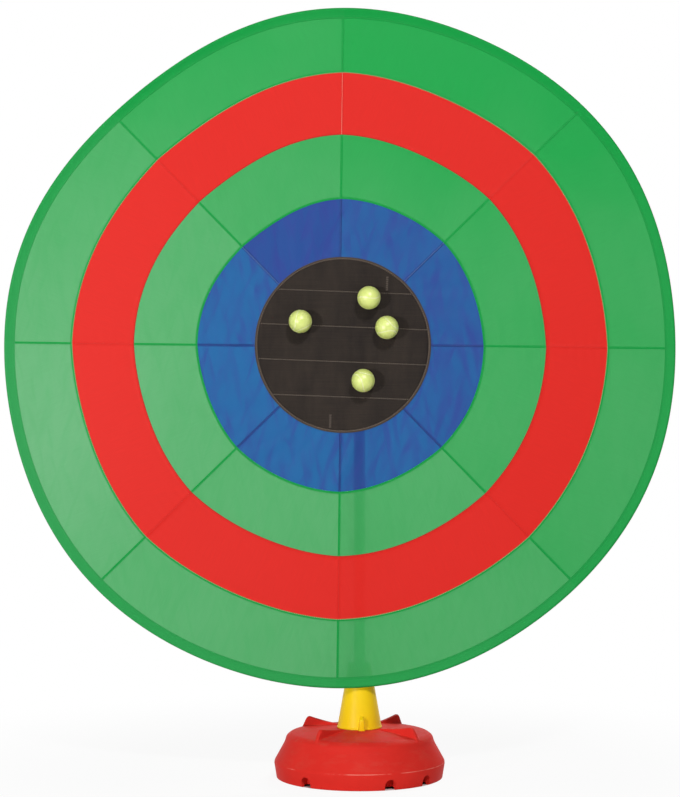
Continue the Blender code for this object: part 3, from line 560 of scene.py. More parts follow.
def stitchAlong(bm, points, width=1.0, slant=0.0, front=-1):
    # Short rounded stitches laid along a line of points, front -1 on the face and 1 on its back
    lengths = [0.0]
    for a, b in zip(points, points[1:]):
        lengths.append(lengths[-1] + (b - a).length)
    count = max(int(lengths[-1] / (stitch["length"] + stitch["gap"])), 1)
    out = Vector((0, front, 0))
    segment = 0
    for i in range(count):
        reach = (i + 0.5) * lengths[-1] / count
        while segment < len(points) - 2 and lengths[segment + 1] < reach:
            segment += 1
        a, b = points[segment], points[segment + 1]
        share = (reach - lengths[segment]) / max(lengths[segment + 1] - lengths[segment], 1e-9)
        spot = a.lerp(b, share) + out * stitch["height"] * 0.3
        run = (b - a).normalized()
        tilt = slant if i % 2 else -slant
        run = (run + run.cross(out).normalized() * tilt).normalized()
        side = run.cross(out).normalized()
        size = (stitch["length"] * (1 + abs(slant) * 0.3), stitch["width"] * width, stitch["height"], 1)
        turn = Matrix((run, side, run.cross(side))).transposed().to_4x4()
        turn = Matrix.Translation(spot) @ turn @ Matrix.Diagonal(size)
        for v in bmesh.ops.create_cube(bm, size=1.0, matrix=turn)["verts"]:
            local = v.co - spot
            if local.dot(out) > 0:
                v.co -= local.project(side) * 0.25


# Rings of panels

rings = {  # node, outer edge, inner edge, cloth, cloth of its seam layers, plain thread
    "outerGreen": ("outer_green_panel", None, "redOuter", greenNylon, hemNylon, "green"),
    "red": ("red_panel", "redOuter", "redInner", redNylon, redNylon, "red"),
    "innerGreen": ("inner_green_panel", "redInner", "blueOuter", greenNylon, hemNylon, "green"),
    "blue": ("blue_panel", "blueOuter", None, blueNylon, blueNylon, "blue"),
}


def makePanel(inner, outer, number):
    # One panel: it laps over its neighbour at its first side and over the next ring at its inner edge
    first = face["seamTurn"] + number * sector
    middle = first + sector / 2
    wide = inner(middle) * sector
    deep = outer(middle) - inner(middle)
    alongStops = seamStops(wide, max(int(wide / cloth["step"]), 8))
    acrossStops = seamStops(deep, max(int(deep / cloth["step"]), 6))
    span = (cloth["lapWidth"], cloth["lapWidth"] * 1.7)

    def placed(along, across, column, row):
        angle = first + along * sector
        radius = inner(angle) + (outer(angle) - inner(angle)) * across
        raised = 0.0
        if column and row:
            raised = 1 - min(smooth(along * sector * radius, *span), smooth(across * deep, *span))
        return onCloth(angle, radius, -cloth["lapHeight"] * raised)

    def lapsAt(v):
        # How far a point is from the panel's first side and from its inner edge
        radius, angle = math.hypot(v.co.x, v.co.z), math.atan2(v.co.z, v.co.x)
        return ((angle - first + math.pi) % math.tau - math.pi) * radius, radius - inner(angle)

    bm = gridPiece(alongStops, acrossStops, placed)
    mapInMetres(bm, middle)
    mapBy(bm, "laps", lapsAt)
    return bm


def joined(parts):
    # One bmesh out of several
    whole = bmesh.new()
    for part in parts:
        mesh = bpy.data.meshes.new("part")
        part.to_mesh(mesh)
        part.free()
        whole.from_mesh(mesh)
        bpy.data.meshes.remove(mesh)
    return whole


def sewSeam(inner, outer, angle, bm):
    # The layer behind a radial seam. Its stitches on the face and on the back go into the bmesh
    out, side = around(1, angle), around(1, angle + math.pi / 2)
    shift = side * cloth["seamWidth"] / 2
    first, last = out * inner(angle) + shift, out * outer(angle) + shift
    steps = int((last - first).length / cloth["seamStep"])

    def placed(across, along, column, row):
        spot = first.lerp(last, along) + side * (across - 0.5) * cloth["seamWidth"]
        return laidBehind(spot, cloth["seamBehind"])

    lift = -cloth["lapHeight"] - stitch["height"] * 0.1
    line = [laidBehind(first.lerp(last, share), lift) for share in even(steps)]
    stitchAlong(bm, line)
    through = Vector((0, cloth["lapHeight"] + 0.0012, 0))
    stitchAlong(bm, [point + through for point in line], front=1)
    return gridPiece(even(2), even(steps), placed)


def sewEdge(inner, inset, width, bm):
    # The layer behind a ring's inner edge. Its stitches on both sides go into the bmesh
    def placed(across, along, column, row):
        angle = along * math.tau
        return onCloth(angle, inner(angle) + across * cloth["seamWidth"], cloth["ringBehind"])

    for lift, front in ((-cloth["lapHeight"], -1), (0.0007, 1)):
        turns = [share * math.tau for share in even(360)]
        line = [onCloth(angle, inner(angle) + inset, lift) for angle in turns]
        stitchAlong(bm, line, width, front=front)
    strip = gridPiece(even(2), even(360), placed)
    closeDoubles(strip)
    return strip


def makeRings():
    edges = {name: ringEdge(r, sag, drift=drift) for name, (r, sag, drift) in cloth["edges"].items()}
    hemSeam = ringEdge(face["radius"], inset=face["radius"] - cloth["hemSeam"])
    for name, (node, outerName, innerName, material, back, plainThread) in rings.items():
        outer = edges.get(outerName, hemSeam)
        inner = edges.get(innerName, patchEdge)
        strips = []
        lines = defaultdict(bmesh.new)
        for number in range(face["panels"]):
            angle = face["seamTurn"] + number * sector
            bm = makePanel(inner, outer, number)
            area = areaOf(bm)
            panel, stands = f"{name}Panel{number + 1}", f"{node}_{number + 1}"
            panel = finishPiece(panel, toFace(bm), material, "target", stands, sharp=50)
            width = outer(angle + sector / 2) - inner(angle) * math.cos(sector / 2)
            length = 2 * outer(angle + sector / 2) * math.sin(sector / 2)
            thread = stitch["seams"].get((name, number), plainThread)
            strips.append(sewSeam(inner, outer, angle, lines[thread]))
        if innerName:
            inset, thread, width = stitch["ring"][name]
            strips.append(sewEdge(inner, inset, width, lines[thread]))
        bm = joined(strips)
        mapInMetres(bm)
        finishPiece(f"{name}SeamLayers", toFace(bm), back, "target", None)
        for thread, bm in lines.items():
            piece = f"{name}Stitches{thread.capitalize()}"
            finishPiece(piece, toFace(bm), threads[thread], "target", None)


makeRings()
print("cloth rings sewn")

# Hem

hem = {
    "width": 0.026,
    "rodCentre": 0.783507,
    "sleeveRadius": 0.0048,
    "leaf": 0.0008,
    "fold": 0.0002,
    "turns": 720,
    "scallop": 0.00035,
    "scallopPitch": 0.016,
    "stitchRows": (0.0025, 0.0065),
}


def makeHem():
    inner, leaf, sleeve = face["radius"] - hem["width"], hem["leaf"], hem["sleeveRadius"]
    taper = hem["rodCentre"] - 3.2 * sleeve
    front = [(inner, -hem["fold"]), (inner + hem["fold"], -leaf)]
    front += [(inner + (taper - inner) * i / 4, -leaf) for i in range(1, 5)]
    turns = [math.radians(-120 + 240 * share) for share in even(12)]
    bead = [(hem["rodCentre"] + sleeve * math.cos(t), sleeve * math.sin(t)) for t in turns]
    path = front + bead + [(r, -y) for r, y in reversed(front)]

    def placed(across, along, column, row):
        radius, y = path[column]
        angle = -math.pi / 2 + along * math.tau
        share = smooth(radius, inner - 0.002, inner + 0.012)
        wave = math.sin(math.tau * along * math.tau * face["radius"] / hem["scallopPitch"])
        wave *= 0.6 + 0.8 * noise.noise(Vector((along * 60, 0.3, 0.9)))
        y += math.copysign(hem["scallop"], y) * wave * (1 - share)
        return around(radius * (1 + lobes(angle)), angle, y)

    bm = gridPiece(even(len(path) - 1), even(hem["turns"]), placed)
    reach = [0.0]
    for a, b in zip(path, path[1:]):
        reach.append(reach[-1] + math.dist(a, b))
    bm.verts.index_update()
    length = math.tau * face["radius"]

    def inStrip(v):
        row, column = divmod(v.index, len(path))
        return row * length / hem["turns"], reach[column]

    mapBy(bm, "UVMap", inStrip)
    closeDoubles(bm)
    piece = finishPiece("hemSleeve", toFace(bm), hemNylon, "target", "hem_sleeve", sharp=60)
    flat = (round(reach[-1], 3), round(length, 2))
    rows = []
    for row in hem["stitchRows"]:
        for side in (-1, 1):
            turns = [-math.pi / 2 + share * math.tau for share in even(hem["turns"])]
            line = [around((inner + row) * (1 + lobes(t)), t, side * (leaf + 0.0001)) for t in turns]
            rows.append(bmesh.new())
            stitchAlong(rows[-1], line, front=side)
    finishPiece("hemStitches", toFace(joined(rows)), threads["green"], "target", None)


makeHem()
print("hem sewn")

# Hook patch


def makeHookTape():
    # Nylon hook tape: a dense dark pile of tiny hooks in rows, with soft brushed patches
    made, tree, here = startMaterial("black nylon hook tape")
    inputs = {"Vector": here, "Scale": 420.0, "Randomness": 0.55}
    rows = addNode(tree, "TexVoronoi", inputs, feature="F1")
    streak = addNode(tree, "Mapping", {"Vector": here, "Scale": (26, 26, 7)})
    brushed = {"Vector": streak, "Scale": 1.0, "Detail": 4.0, "Roughness": 0.6}
    brushed = addNode(tree, "TexNoise", brushed)
    cross = addNode(tree, "Mapping", {"Vector": here, "Scale": (9, 9, 500)})
    ribs = addNode(tree, "TexNoise", {"Vector": cross, "Scale": 1.0, "Detail": 2.0})
    both = {0: ribs, 1: 0.45, 2: brushed}
    tone = addNode(tree, "Math", both, operation="MULTIPLY_ADD", use_clamp=True)
    tone = addNode(tree, "MapRange", {"Value": tone, "From Min": 0.45, "From Max": 1.0})
    looks = {
        "Base Color": addNode(tree, "Mix", {0: tone, 6: "1D1715", 7: "322A24"}, data_type="RGBA"),
        "Roughness": 0.82,
        "Sheen Weight": 0.08,
        "Sheen Roughness": 0.5,
        "Specular IOR Level": 0.2,
    }
    return endMaterial(made, looks, rows, 0.0008, 0.55)


def makeCanvas(name, code, pale, pitch):
    # Plain-woven polyester canvas: matt, with the thread crossings just showing
    made, tree, here = startMaterial(name)
    cloud = addNode(tree, "TexNoise", {"Vector": here, "Scale": 30.0, "Detail": 5.0, "Roughness": 0.6})
    inputs = {"Vector": here, "Scale": 1 / pitch, "Randomness": 0.12}
    grid = addNode(tree, "TexVoronoi", inputs, feature="F1")
    colour = addNode(tree, "Mix", {0: cloud, 6: code, 7: pale}, data_type="RGBA")
    looks = {"Base Color": colour, "Roughness": 0.85, "Sheen Weight": 0.15, "Specular IOR Level": 0.3}
    return endMaterial(made, looks, grid, pitch / 4, 0.5)


hookTape = makeHookTape()
blackCanvas = makeCanvas("black polyester canvas", "191716", "2B2826", 0.0014)
brownTape = makeCanvas("brown woven binding tape", "362B25", "4E4137", 0.0011)

patch = {
    "stripRadius": 0.1990,
    "strips": 5,
    "stripWidth": 0.082,
    "stripShift": 0.0015,
    "slope": math.radians(-2.2),
    "thickness": 0.0014,
    "front": -0.0024,
    "undulation": 0.00035,
    "edgeDrop": 0.0007,
    "edgeRound": 0.0022,
    "joints": ((0, 0.0976, 0.1300, 0.1640), (4, -0.0226, -0.1950, -0.1630)),  # strip, aside, low, top
    "jointHeight": 0.0004,
    "jointWidth": 0.0045,
    "rowApart": 0.0007,
    "backing": 0.0002,
    "bindingInner": 0.1993,
    "bindingOuter": 0.2057,
    "bindingHeight": 0.0023,
    "bindingBack": -0.0009,
    "bindingRibs": (0.00012, 430),  # height of the tape's ribs and how many go round
    "bindingWander": 0.0004,
    "bindingStitchShare": 0.35,
    "tapeWidth": 0.010,
}
patchRight = Vector((math.cos(patch["slope"]), 0, math.sin(patch["slope"])))
patchUp = Vector((-math.sin(patch["slope"]), 0, math.cos(patch["slope"])))


def onPatch(aside, height, behind=0.0):
    # A place on the pile of the patch, with the pile's own soft unevenness
    spot = patchMiddle + patchRight * aside + patchUp * height
    slow = noise.noise(Vector((spot.x * 22, 1.3, spot.z * 7)))
    pile = patch["undulation"] * (slow + 0.4 * noise.noise(Vector((spot.x * 60, 4.1, spot.z * 25))))
    return Vector((spot.x, patch["front"] + pile + behind, spot.z))


def stripTop(number):
    return (patch["strips"] / 2 - number) * patch["stripWidth"] + patch["stripShift"]


def makeHookStrips():
    radius = patch["stripRadius"]
    for number in range(patch["strips"]):
        low, top = max(stripTop(number + 1), -radius), min(stripTop(number), radius)

        def placed(across, along, column, row):
            height = low + (top - low) * along
            aside = (across * 2 - 1) * math.sqrt(max(radius**2 - height**2, 0.0))
            edge = min(height - low, top - height)
            behind = patch["edgeDrop"] * math.exp(-((edge / patch["edgeRound"]) ** 2))
            for strip, joint, bottom, ceiling in patch["joints"]:
                if strip == number and bottom < height < ceiling:
                    bump = math.exp(-(((aside - joint) / patch["jointWidth"]) ** 4))
                    behind -= patch["jointHeight"] * bump
            return onPatch(aside, height, behind)

        bm = gridPiece(even(90), seamStops(top - low, 16, folded=False), placed)
        closeDoubles(bm, 1e-5)
        mapInMetres(bm)
        area = areaOf(bm)
        name, node = f"hookStrip{number + 1}", f"hook_strip_{number + 1}"
        strip = finishPiece(name, toFace(bm), hookTape, "target", node)
        solid = strip.modifiers.new("pile", "SOLIDIFY")
        solid.thickness = patch["thickness"]
        solid.offset = -1

    bm = bmesh.new()
    for height in map(stripTop, range(1, patch["strips"])):
        half = math.sqrt(radius**2 - height**2)
        for shift in (-patch["rowApart"], patch["rowApart"]):
            line = [onPatch(half * (2 * share - 1), height + shift) for share in even(60)]
            stitchAlong(bm, line, width=1.3)
    finishPiece("patchStitches", toFace(bm), threads["brown"], "target", None)
    bm = bmesh.new()
    for _, joint, low, top in patch["joints"]:
        line = [onPatch(joint, low + (top - low) * share, -0.0003) for share in even(8)]
        stitchAlong(bm, line, width=9.0, slant=0.15)
    finishPiece("patchJointStitches", toFace(bm), threads["dark"], "target", None)


def makeBacking():
    # A disc of rings of cloth out to the joint with the blue panels
    def placed(across, along, column, row):
        angle = along * math.tau
        return around(max(across, 0.004) * patchEdge(angle), angle, patch["backing"])

    bm = gridPiece(even(16), even(160), placed)
    closeDoubles(bm)
    hole = [e for e in bm.edges if e.is_boundary and e.verts[0].co.length < 0.05]
    bmesh.ops.holes_fill(bm, edges=hole, sides=0)
    mapInMetres(bm)
    area = areaOf(bm)
    disc = finishPiece("centreBacking", toFace(bm), blackCanvas, "target", "centre_backing")
    across = round(2 * face["patchJoint"], 3)


def makeBinding():
    # A crowned tape round the patch, with a row of stitches on it, paler than the tape, that also stands in
    # for a painted highlight along the crown
    inner, outer, tall = patch["bindingInner"], patch["bindingOuter"], patch["bindingHeight"]
    ribHeight, ribs = patch["bindingRibs"]
    crown = [(inner, 0.0), (outer, 0.0)]
    for share in even(8):
        bulge = tall * (0.35 + 0.65 * math.sin(math.pi * share) ** 0.6)
        crown.append((inner + (outer - inner) * (0.5 + 0.5 * math.cos(math.pi * share)), bulge))

    def placed(across, along, column, row):
        angle = along * math.tau
        radius, height = crown[column % len(crown)]
        rib = ribHeight * math.sin(angle * ribs) if height > tall / 2 else 0.0
        radius += patch["bindingWander"] * noise.noise(Vector((angle * 6, 2.2, 0.4)))
        return patchMiddle + around(radius, angle, patch["bindingBack"] - height - rib)

    bm = gridPiece(even(len(crown)), even(1440), placed)
    mergeAndFace(bm)
    mapInMetres(bm)
    tape = finishPiece("centreBinding", toFace(bm), brownTape, "target", "centre_binding")
    patch["tapeWidth"]
    # Real stitches, placed so that they also give a painted highlight along the crown
    bm = bmesh.new()
    radius = inner + (outer - inner) * patch["bindingStitchShare"]
    turns = [share * math.tau for share in even(360)]
    line = [patchMiddle + around(radius, t, patch["bindingBack"] - tall) for t in turns]
    stitchAlong(bm, line, width=1.5)
    finishPiece("bindingStitches", toFace(bm), threads["brown"], "target", None)


makeHookStrips()
makeBacking()
makeBinding()
print("hook patch sewn")

# Balls

ball = {
    "radius": 0.02725,
    "depth": -0.0006 - 0.0006 - 0.0015 - 0.02725,
    "places": ((-0.0988, 0.0529), (0.0604, 0.1079), (0.1020, 0.0388), (0.0468, -0.0845)),
    "turns": ((20, 30, 70), (200, 80, 10), (75, 150, 40), (130, 20, 160)),
    "seamShape": 0.42,
    "seamWidth": 0.0011,
    "seamDepth": 0.0004,
    "felt": 0.00022,
}


def makeFelt():
    # Needled wool and nylon felt: soft, fuzzy, paler where the fibres stand up
    made, tree, here = startMaterial("yellow green ball felt")
    seam = addNode(tree, "Attribute", attribute_name="seam").outputs["Fac"]
    fuzz = addNode(tree, "TexNoise", {"Vector": here, "Scale": 520.0, "Detail": 5.0, "Roughness": 0.7})
    tuft = addNode(tree, "TexNoise", {"Vector": here, "Scale": 90.0, "Detail": 3.0})
    nap = addNode(tree, "Mix", {0: 0.5, 2: fuzz, 3: tuft}, data_type="FLOAT")
    colour = addNode(tree, "Mix", {0: nap, 6: "C6DA58", 7: "ECF298"}, data_type="RGBA")
    looks = {
        "Base Color": addNode(tree, "Mix", {0: seam, 6: colour, 7: "EDF0B8"}, data_type="RGBA"),
        "Roughness": 0.36,
        "Sheen Weight": 0.05,
        "Sheen Roughness": 0.45,
        "Specular IOR Level": 1.0,
    }
    return endMaterial(made, looks, fuzz, 0.0006, 0.4)


def makeBalls():
    felt = makeFelt()
    b = ball["seamShape"]
    a = 1 - b
    c = 2 * math.sqrt(a * b)
    curve = kdtree.KDTree(400)
    for i in range(400):
        t = i * math.tau / 400
        x, y = a * math.cos(t) + b * math.cos(3 * t), a * math.sin(t) - b * math.sin(3 * t)
        curve.insert((x, y, c * math.sin(2 * t)), i)
    curve.balance()
    for number, ((x, z), turns) in enumerate(zip(ball["places"], ball["turns"]), 1):
        bm = bmesh.new()
        bmesh.ops.create_icosphere(bm, subdivisions=6, radius=1.0)
        seam = bm.verts.layers.float.new("seam")
        for v in bm.verts:
            away = curve.find(v.co)[2] * ball["radius"]
            line = math.exp(-((away / ball["seamWidth"]) ** 4))
            nap = noise.noise(v.co * 26) * 0.6 + noise.noise(v.co * 60) * 0.4
            v[seam] = line
            grown = ball["radius"] - ball["felt"] - ball["seamDepth"] * line
            v.co *= grown + ball["felt"] * nap * (1 - line)
        for axis, degrees in zip("XYZ", turns):
            turn = Matrix.Rotation(math.radians(degrees), 3, axis)
            bmesh.ops.rotate(bm, verts=bm.verts, matrix=turn)
        moved(bm, patchMiddle + Vector((x, ball["depth"], z)))
        node = f"ball_{number}"
        finishPiece(f"feltBall{number}", toFace(bm), felt, node, node)


makeBalls()
print("balls placed")

# Pole

pole = {
    "x": 0.045,
    "radius": 0.0135,
    "wall": 0.0015,
    "lower": (0.0376, 0.560),
    "upper": (0.5636, 1.09617),
    "plugDepth": 0.022,
    "fit": 0.0116,
    "foot": (0.0343, 0.0373),
    "couplerDeep": 0.045,
    "couplerRim": (0.5603, 0.5633),
    "couplerTop": 0.6236,
    "capRim": 1.0964718,
    "capTop": 1.1014718,
}


def turnPiece(profile, steps=96):
    # Spins (radius, height, rounding) points about the pole's axis
    bm = bmesh.new()
    verts = [bm.verts.new((r, 0, z)) for r, z, _ in profile]
    for i, (r, _, _) in enumerate(profile):
        after = (i + 1) % len(profile)
        if max(r, profile[after][0]) > 1e-7:
            bm.edges.new((verts[i], verts[after]))
    for rounding in sorted({r for *_, r in profile if r}):
        corners = [v for v, (_, _, r) in zip(verts, profile) if r == rounding]
        bmesh.ops.bevel(
            bm, geom=corners, offset=rounding, segments=4, profile=0.5, affect="VERTICES", material=-1
        )
    bmesh.ops.spin(
        bm, geom=bm.verts[:] + bm.edges[:], cent=(0, 0, 0), axis=(0, 0, 1), angle=math.tau,
        steps=steps, use_merge=True, use_duplicate=False,
    )
    mergeAndFace(bm)
    return moved(bm, (pole["x"], 0, 0))


def makeTubeMetal():
    # Anodised aluminium tube: satin grey, with fine lines that the drawing die leaves along it
    made, tree, here = startMaterial("anodised aluminium tube")
    lines = addNode(tree, "Mapping", {"Vector": here, "Scale": (1500, 1500, 6)})
    drawn = addNode(tree, "TexNoise", {"Vector": lines, "Scale": 1.0, "Detail": 2.0})
    looks = {
        "Base Color": addNode(tree, "Mix", {0: drawn, 6: "7E8083", 7: "A3A5A8"}, data_type="RGBA"),
        "Metallic": 1.0,
        "Roughness": addNode(tree, "MapRange", {"Value": drawn, "To Min": 0.28, "To Max": 0.5}),
    }
    return endMaterial(made, looks, drawn, 0.00005, 0.4)


def makeMoulded(name, deep, light, roughness, peel, gloss=0.5, topPatchColour=None, paintedEdgeHighlight=None):
    # Moulded polyethylene: waxy and slightly uneven, with paler, duller patches on the faces that look up
    # and a painted highlight along the belt's edge where these are given
    made, tree, here = startMaterial(name)
    cloud = addNode(tree, "TexNoise", {"Vector": here, "Scale": 14.0, "Detail": 4.0, "Roughness": 0.55})
    grain = addNode(tree, "TexNoise", {"Vector": here, "Scale": 380.0, "Detail": 2.0})
    colour = addNode(tree, "Mix", {0: cloud, 6: deep, 7: light}, data_type="RGBA")
    span = {"To Min": roughness - 0.06, "To Max": roughness + 0.08}
    rough = addNode(tree, "MapRange", {"Value": cloud, **span})
    if topPatchColour:
        # Paler, duller patches on the faces that look up
        normal = addNode(tree, "NewGeometry").outputs["Normal"]
        up = addNode(tree, "SeparateXYZ", {0: normal}).outputs["Z"]
        up = addNode(tree, "MapRange", {"Value": up, "From Min": 0.25, "From Max": 0.9})
        stretch = addNode(tree, "Mapping", {"Vector": here, "Scale": (18, 34, 60)})
        topPatches = {"Vector": stretch, "Scale": 1.0, "Detail": 6.0, "Roughness": 0.7}
        topPatches = addNode(tree, "TexNoise", topPatches)
        mask = addNode(tree, "MapRange", {"Value": topPatches, "From Min": 0.48, "From Max": 0.66})
        for share in (up, 0.36):
            mask = addNode(tree, "Math", {0: mask, 1: share}, operation="MULTIPLY")
        colour = addNode(tree, "Mix", {0: mask, 6: colour, 7: topPatchColour}, data_type="RGBA")
        duller = {0: mask, 1: 0.4, 2: rough}
        rough = addNode(tree, "Math", duller, operation="MULTIPLY_ADD", use_clamp=True)

        # A painted highlight along the belt's edge, in places
        level, reach, code = paintedEdgeHighlight
        off = addNode(tree, "SeparateXYZ", {0: here}).outputs["Z"]
        off = addNode(tree, "Math", {0: off, 1: level}, operation="SUBTRACT")
        off = addNode(tree, "Math", {0: off}, operation="ABSOLUTE")
        edge = {"Value": off, "From Min": reach, "From Max": 0.0}
        edge = addNode(tree, "MapRange", edge, interpolation_type="SMOOTHSTEP")
        places = addNode(tree, "MapRange", {"Value": cloud, "From Min": 0.50, "From Max": 0.66})
        edge = addNode(tree, "Math", {0: edge, 1: places}, operation="MULTIPLY")
        colour = addNode(tree, "Mix", {0: edge, 6: colour, 7: code}, data_type="RGBA")
    looks = {"Base Color": colour, "Roughness": rough, "IOR": 1.51, "Specular IOR Level": gloss}
    return endMaterial(made, looks, grain, peel, 0.5)


tubeMetal = makeTubeMetal()
blackPlastic = makeMoulded("black moulded nylon", "151517", "222225", 0.42, 0.0002)


def makePole():
    r, fit, bore = pole["radius"], pole["fit"], pole["radius"] - pole["wall"]
    for side in ("lower", "upper"):
        low, high = pole[side]
        tube = turnPiece([(bore, low, 0.0003), (r, low, 0.0004), (r, high, 0.0004), (bore, high, 0.0003)])
        finishPiece(f"{side}Pole", tube, tubeMetal, f"{side}_pole", f"{side}_pole")
    low, high = pole["lower"]
    bottom, top = pole["foot"]
    foot = turnPiece([
        (0, bottom, 0), (r, bottom, 0.001), (r, top, 0.0004), (fit, top, 0),
        (fit, low + pole["plugDepth"], 0.001), (0, low + pole["plugDepth"], 0),
    ])
    finishPiece("poleFoot", foot, blackPlastic, "lower_pole", "pole_foot")
    (rim, rimTop), deep, top = pole["couplerRim"], high - pole["couplerDeep"], pole["couplerTop"]
    coupler = turnPiece([
        (fit - 0.002, deep, 0), (fit, deep, 0.0006), (fit, rim, 0), (r, rim, 0.0005),
        (r, rimTop, 0.0005), (fit, rimTop, 0), (fit, top, 0.0012), (fit - 0.002, top, 0.0004),
    ])
    finishPiece("poleCoupler", coupler, blackPlastic, "lower_pole", "pole_coupler")
    deep, rim, top = pole["upper"][1] - pole["plugDepth"], pole["capRim"], pole["capTop"]
    cap = turnPiece([
        (0, deep, 0), (fit, deep, 0.001), (fit, rim, 0), (r, rim, 0.0004), (r, top, 0.0032), (0, top, 0),
    ])
    finishPiece("poleCap", cap, blackPlastic, "upper_pole", "pole_cap")


makePole()

# Pocket on the back of the patch

pocket = {
    "top": 1.1017718,
    "length": 0.250,
    "inner": 0.01478,
    "cloth": 0.0013,
    "flange": 0.0195,
    "lid": 0.0014,
    "turnedUnder": 0.03,
    "steps": 96,
    "wrinkle": 0.0005,
    "stitchInset": (0.004, 0.0075),
}


def planeBack(height):
    # Where the back of the face's cloth is, at the pocket, at this height above the floor
    return face["middle"][1] + (height - face["middle"][2]) * math.tan(lean) + 0.0009 / math.cos(lean)


def makePocket():
    top, low = pocket["top"], pocket["top"] - pocket["length"]
    radius = pocket["inner"] + pocket["cloth"]
    wing = radius + pocket["flange"]

    def placed(across, along, column, row):
        # Six steps of flange at each side, and the bag that stands off between them
        height = low + (top - low) * along
        front = planeBack(height) + pocket["cloth"]
        beside = min(column, 48 - column)
        if beside <= 6:
            x, y = wing - (wing - radius - 0.0015) * beside / 6, front
            return Vector((pole["x"] + (x if column < 24 else -x), y, height))
        turn = math.pi * (column - 7) / 34
        x = radius * math.cos(turn)
        y = front + 0.0012 + (radius - front) * math.sin(turn) ** 0.55
        y = max(min(y, math.sqrt(radius**2 - x**2) if abs(x) < radius else front), front + 0.0004)
        creases = noise.noise(Vector((x * 60, 2.0, height * 32)))
        return Vector((pole["x"] + x, y + pocket["wrinkle"] * creases * math.sin(turn), height))

    bm = gridPiece(even(48), even(pocket["steps"]), placed)

    # The lid: the top edge folds in over the end of the pole
    front = planeBack(top) + pocket["cloth"]
    for height, lift, reach in ((top, pocket["lid"], 0.0012), (top + pocket["lid"], 0.0, 1.0)):
        edge = [e for e in bm.edges if all(v.co.z > height - 1e-6 for v in e.verts)]
        grown = bmesh.ops.extrude_edge_only(bm, edges=edge)["geom"]
        for v in [g for g in grown if isinstance(g, bmesh.types.BMVert)]:
            v.co.z = height + lift
            v.co.y = max(v.co.y - reach, front)
    closeDoubles(bm)
    piece = finishPiece("polePocket", bm, blackCanvas, "target", "pole_pocket")
    solid = piece.modifiers.new("cloth", "SOLIDIFY")
    solid.thickness = pocket["cloth"]
    solid.offset = -1
    width = round(2 * pocket["flange"] + math.pi * radius, 3)
    length = round(pocket["length"] + pocket["turnedUnder"], 3)
    bm = bmesh.new()
    for side in (-1, 1):
        for inset in pocket["stitchInset"]:
            x = pole["x"] + side * (wing - inset)
            heights = [low + 0.003 + (top - low - 0.004) * share for share in even(60)]
            line = [Vector((x, planeBack(z) + pocket["cloth"] + 0.0001, z)) for z in heights]
            stitchAlong(bm, line, front=1)
    finishPiece("pocketStitches", bm, threads["brown"], "target", None)


makePocket()
print("pole and pocket made")

# Cone and collar

yellowPlastic = makeMoulded("yellow moulded polyethylene", "F4CC08", "FCD814", 0.40, 0.0003, gloss=0.2)

cone = {
    "steps": 160,
    "seat": 0.1153,
    "foot": 0.052,
    "top": 0.262,
    "topRadius": 0.026,
    "wall": 0.003,
    "lip": 0.0006,
    "lipHeight": 0.003,
    "lipTop": 0.0045,
    "bore": 0.0141,
    "boreWall": 0.005,
    "boreHeight": 0.020,
    "spigot": 0.0396,
    "spigotBottom": 0.030,
    "spigotFloor": 0.004,
    "gussets": 2,
    "gussetTurn": 275.0,
    "gussetWidth": 0.016,
    "gussetTopShare": 0.55,
    "gussetRise": 0.033,
    "gussetProud": 0.0085,
    "gussetKnee": 0.024,
    "gussetKey": 0.0068,
    "gussetRound": 0.0035,
}
collar = {"hole": 0.01384, "slack": 0.0004, "reach": 0.024, "above": 0.0003, "rim": 0.003}


def coneRadius(height):
    share = (height - cone["seat"]) / (cone["top"] - cone["seat"])
    return cone["foot"] + share * (cone["topRadius"] - cone["foot"])


def turnedTo(bm, degrees):
    # Turns a shape about Z and puts it round the pole's axis
    bmesh.ops.rotate(bm, verts=bm.verts, matrix=Matrix.Rotation(math.radians(degrees), 3, "Z"))
    return moved(bm, (pole["x"], 0, 0))


def carve(piece, steps):
    # Joins and cuts with other shapes, each (operation, name, bmesh, degrees), and tidies the shading
    helpers = []
    for kind, name, bm, degrees in steps:
        helpers.append(makeObject(name, turnedTo(bm, degrees)))
        cut = piece.modifiers.new(name, "BOOLEAN")
        cut.operation = kind
        cut.solver = "MANIFOLD"
        cut.object = helpers[-1]
    material = piece.data.materials[0]
    whole = piece.evaluated_get(bpy.context.evaluated_depsgraph_get())
    result = bpy.data.meshes.new_from_object(whole)
    piece.modifiers.clear()
    piece.data = result
    for other in helpers:
        bpy.data.objects.remove(other)
    result.materials.clear()
    result.materials.append(material)
    for polygon in result.polygons:
        polygon.material_index = 0
    result.shade_smooth()
    result.set_sharp_from_angle(angle=math.radians(28))


def plateOf(outline, thickness, rounding=0.0, rounded=()):
    # A flat outline in the XZ plane with its thickness along Y, and some of its corners rounded
    bm = bmesh.new()
    first = bm.faces.new([bm.verts.new((x, -thickness / 2, z)) for x, z in outline])
    grown = bmesh.ops.extrude_face_region(bm, geom=[first])["geom"]
    far = [g for g in grown if isinstance(g, bmesh.types.BMVert)]
    bmesh.ops.translate(bm, verts=far, vec=(0, thickness, 0))
    bmesh.ops.recalc_face_normals(bm, faces=bm.faces)

    def near(v):
        return any(math.dist((v.co.x, v.co.z), p) < 1e-6 for p in rounded)

    edges = [e for e in bm.edges if all(near(v) for v in e.verts)]
    bmesh.ops.bevel(
        bm, geom=edges, offset=rounding, segments=4, profile=0.5, affect="EDGES", material=-1
    )
    return bm


def gussetTurns():
    return [cone["gussetTurn"] + i * 360 / cone["gussets"] for i in range(cone["gussets"])]


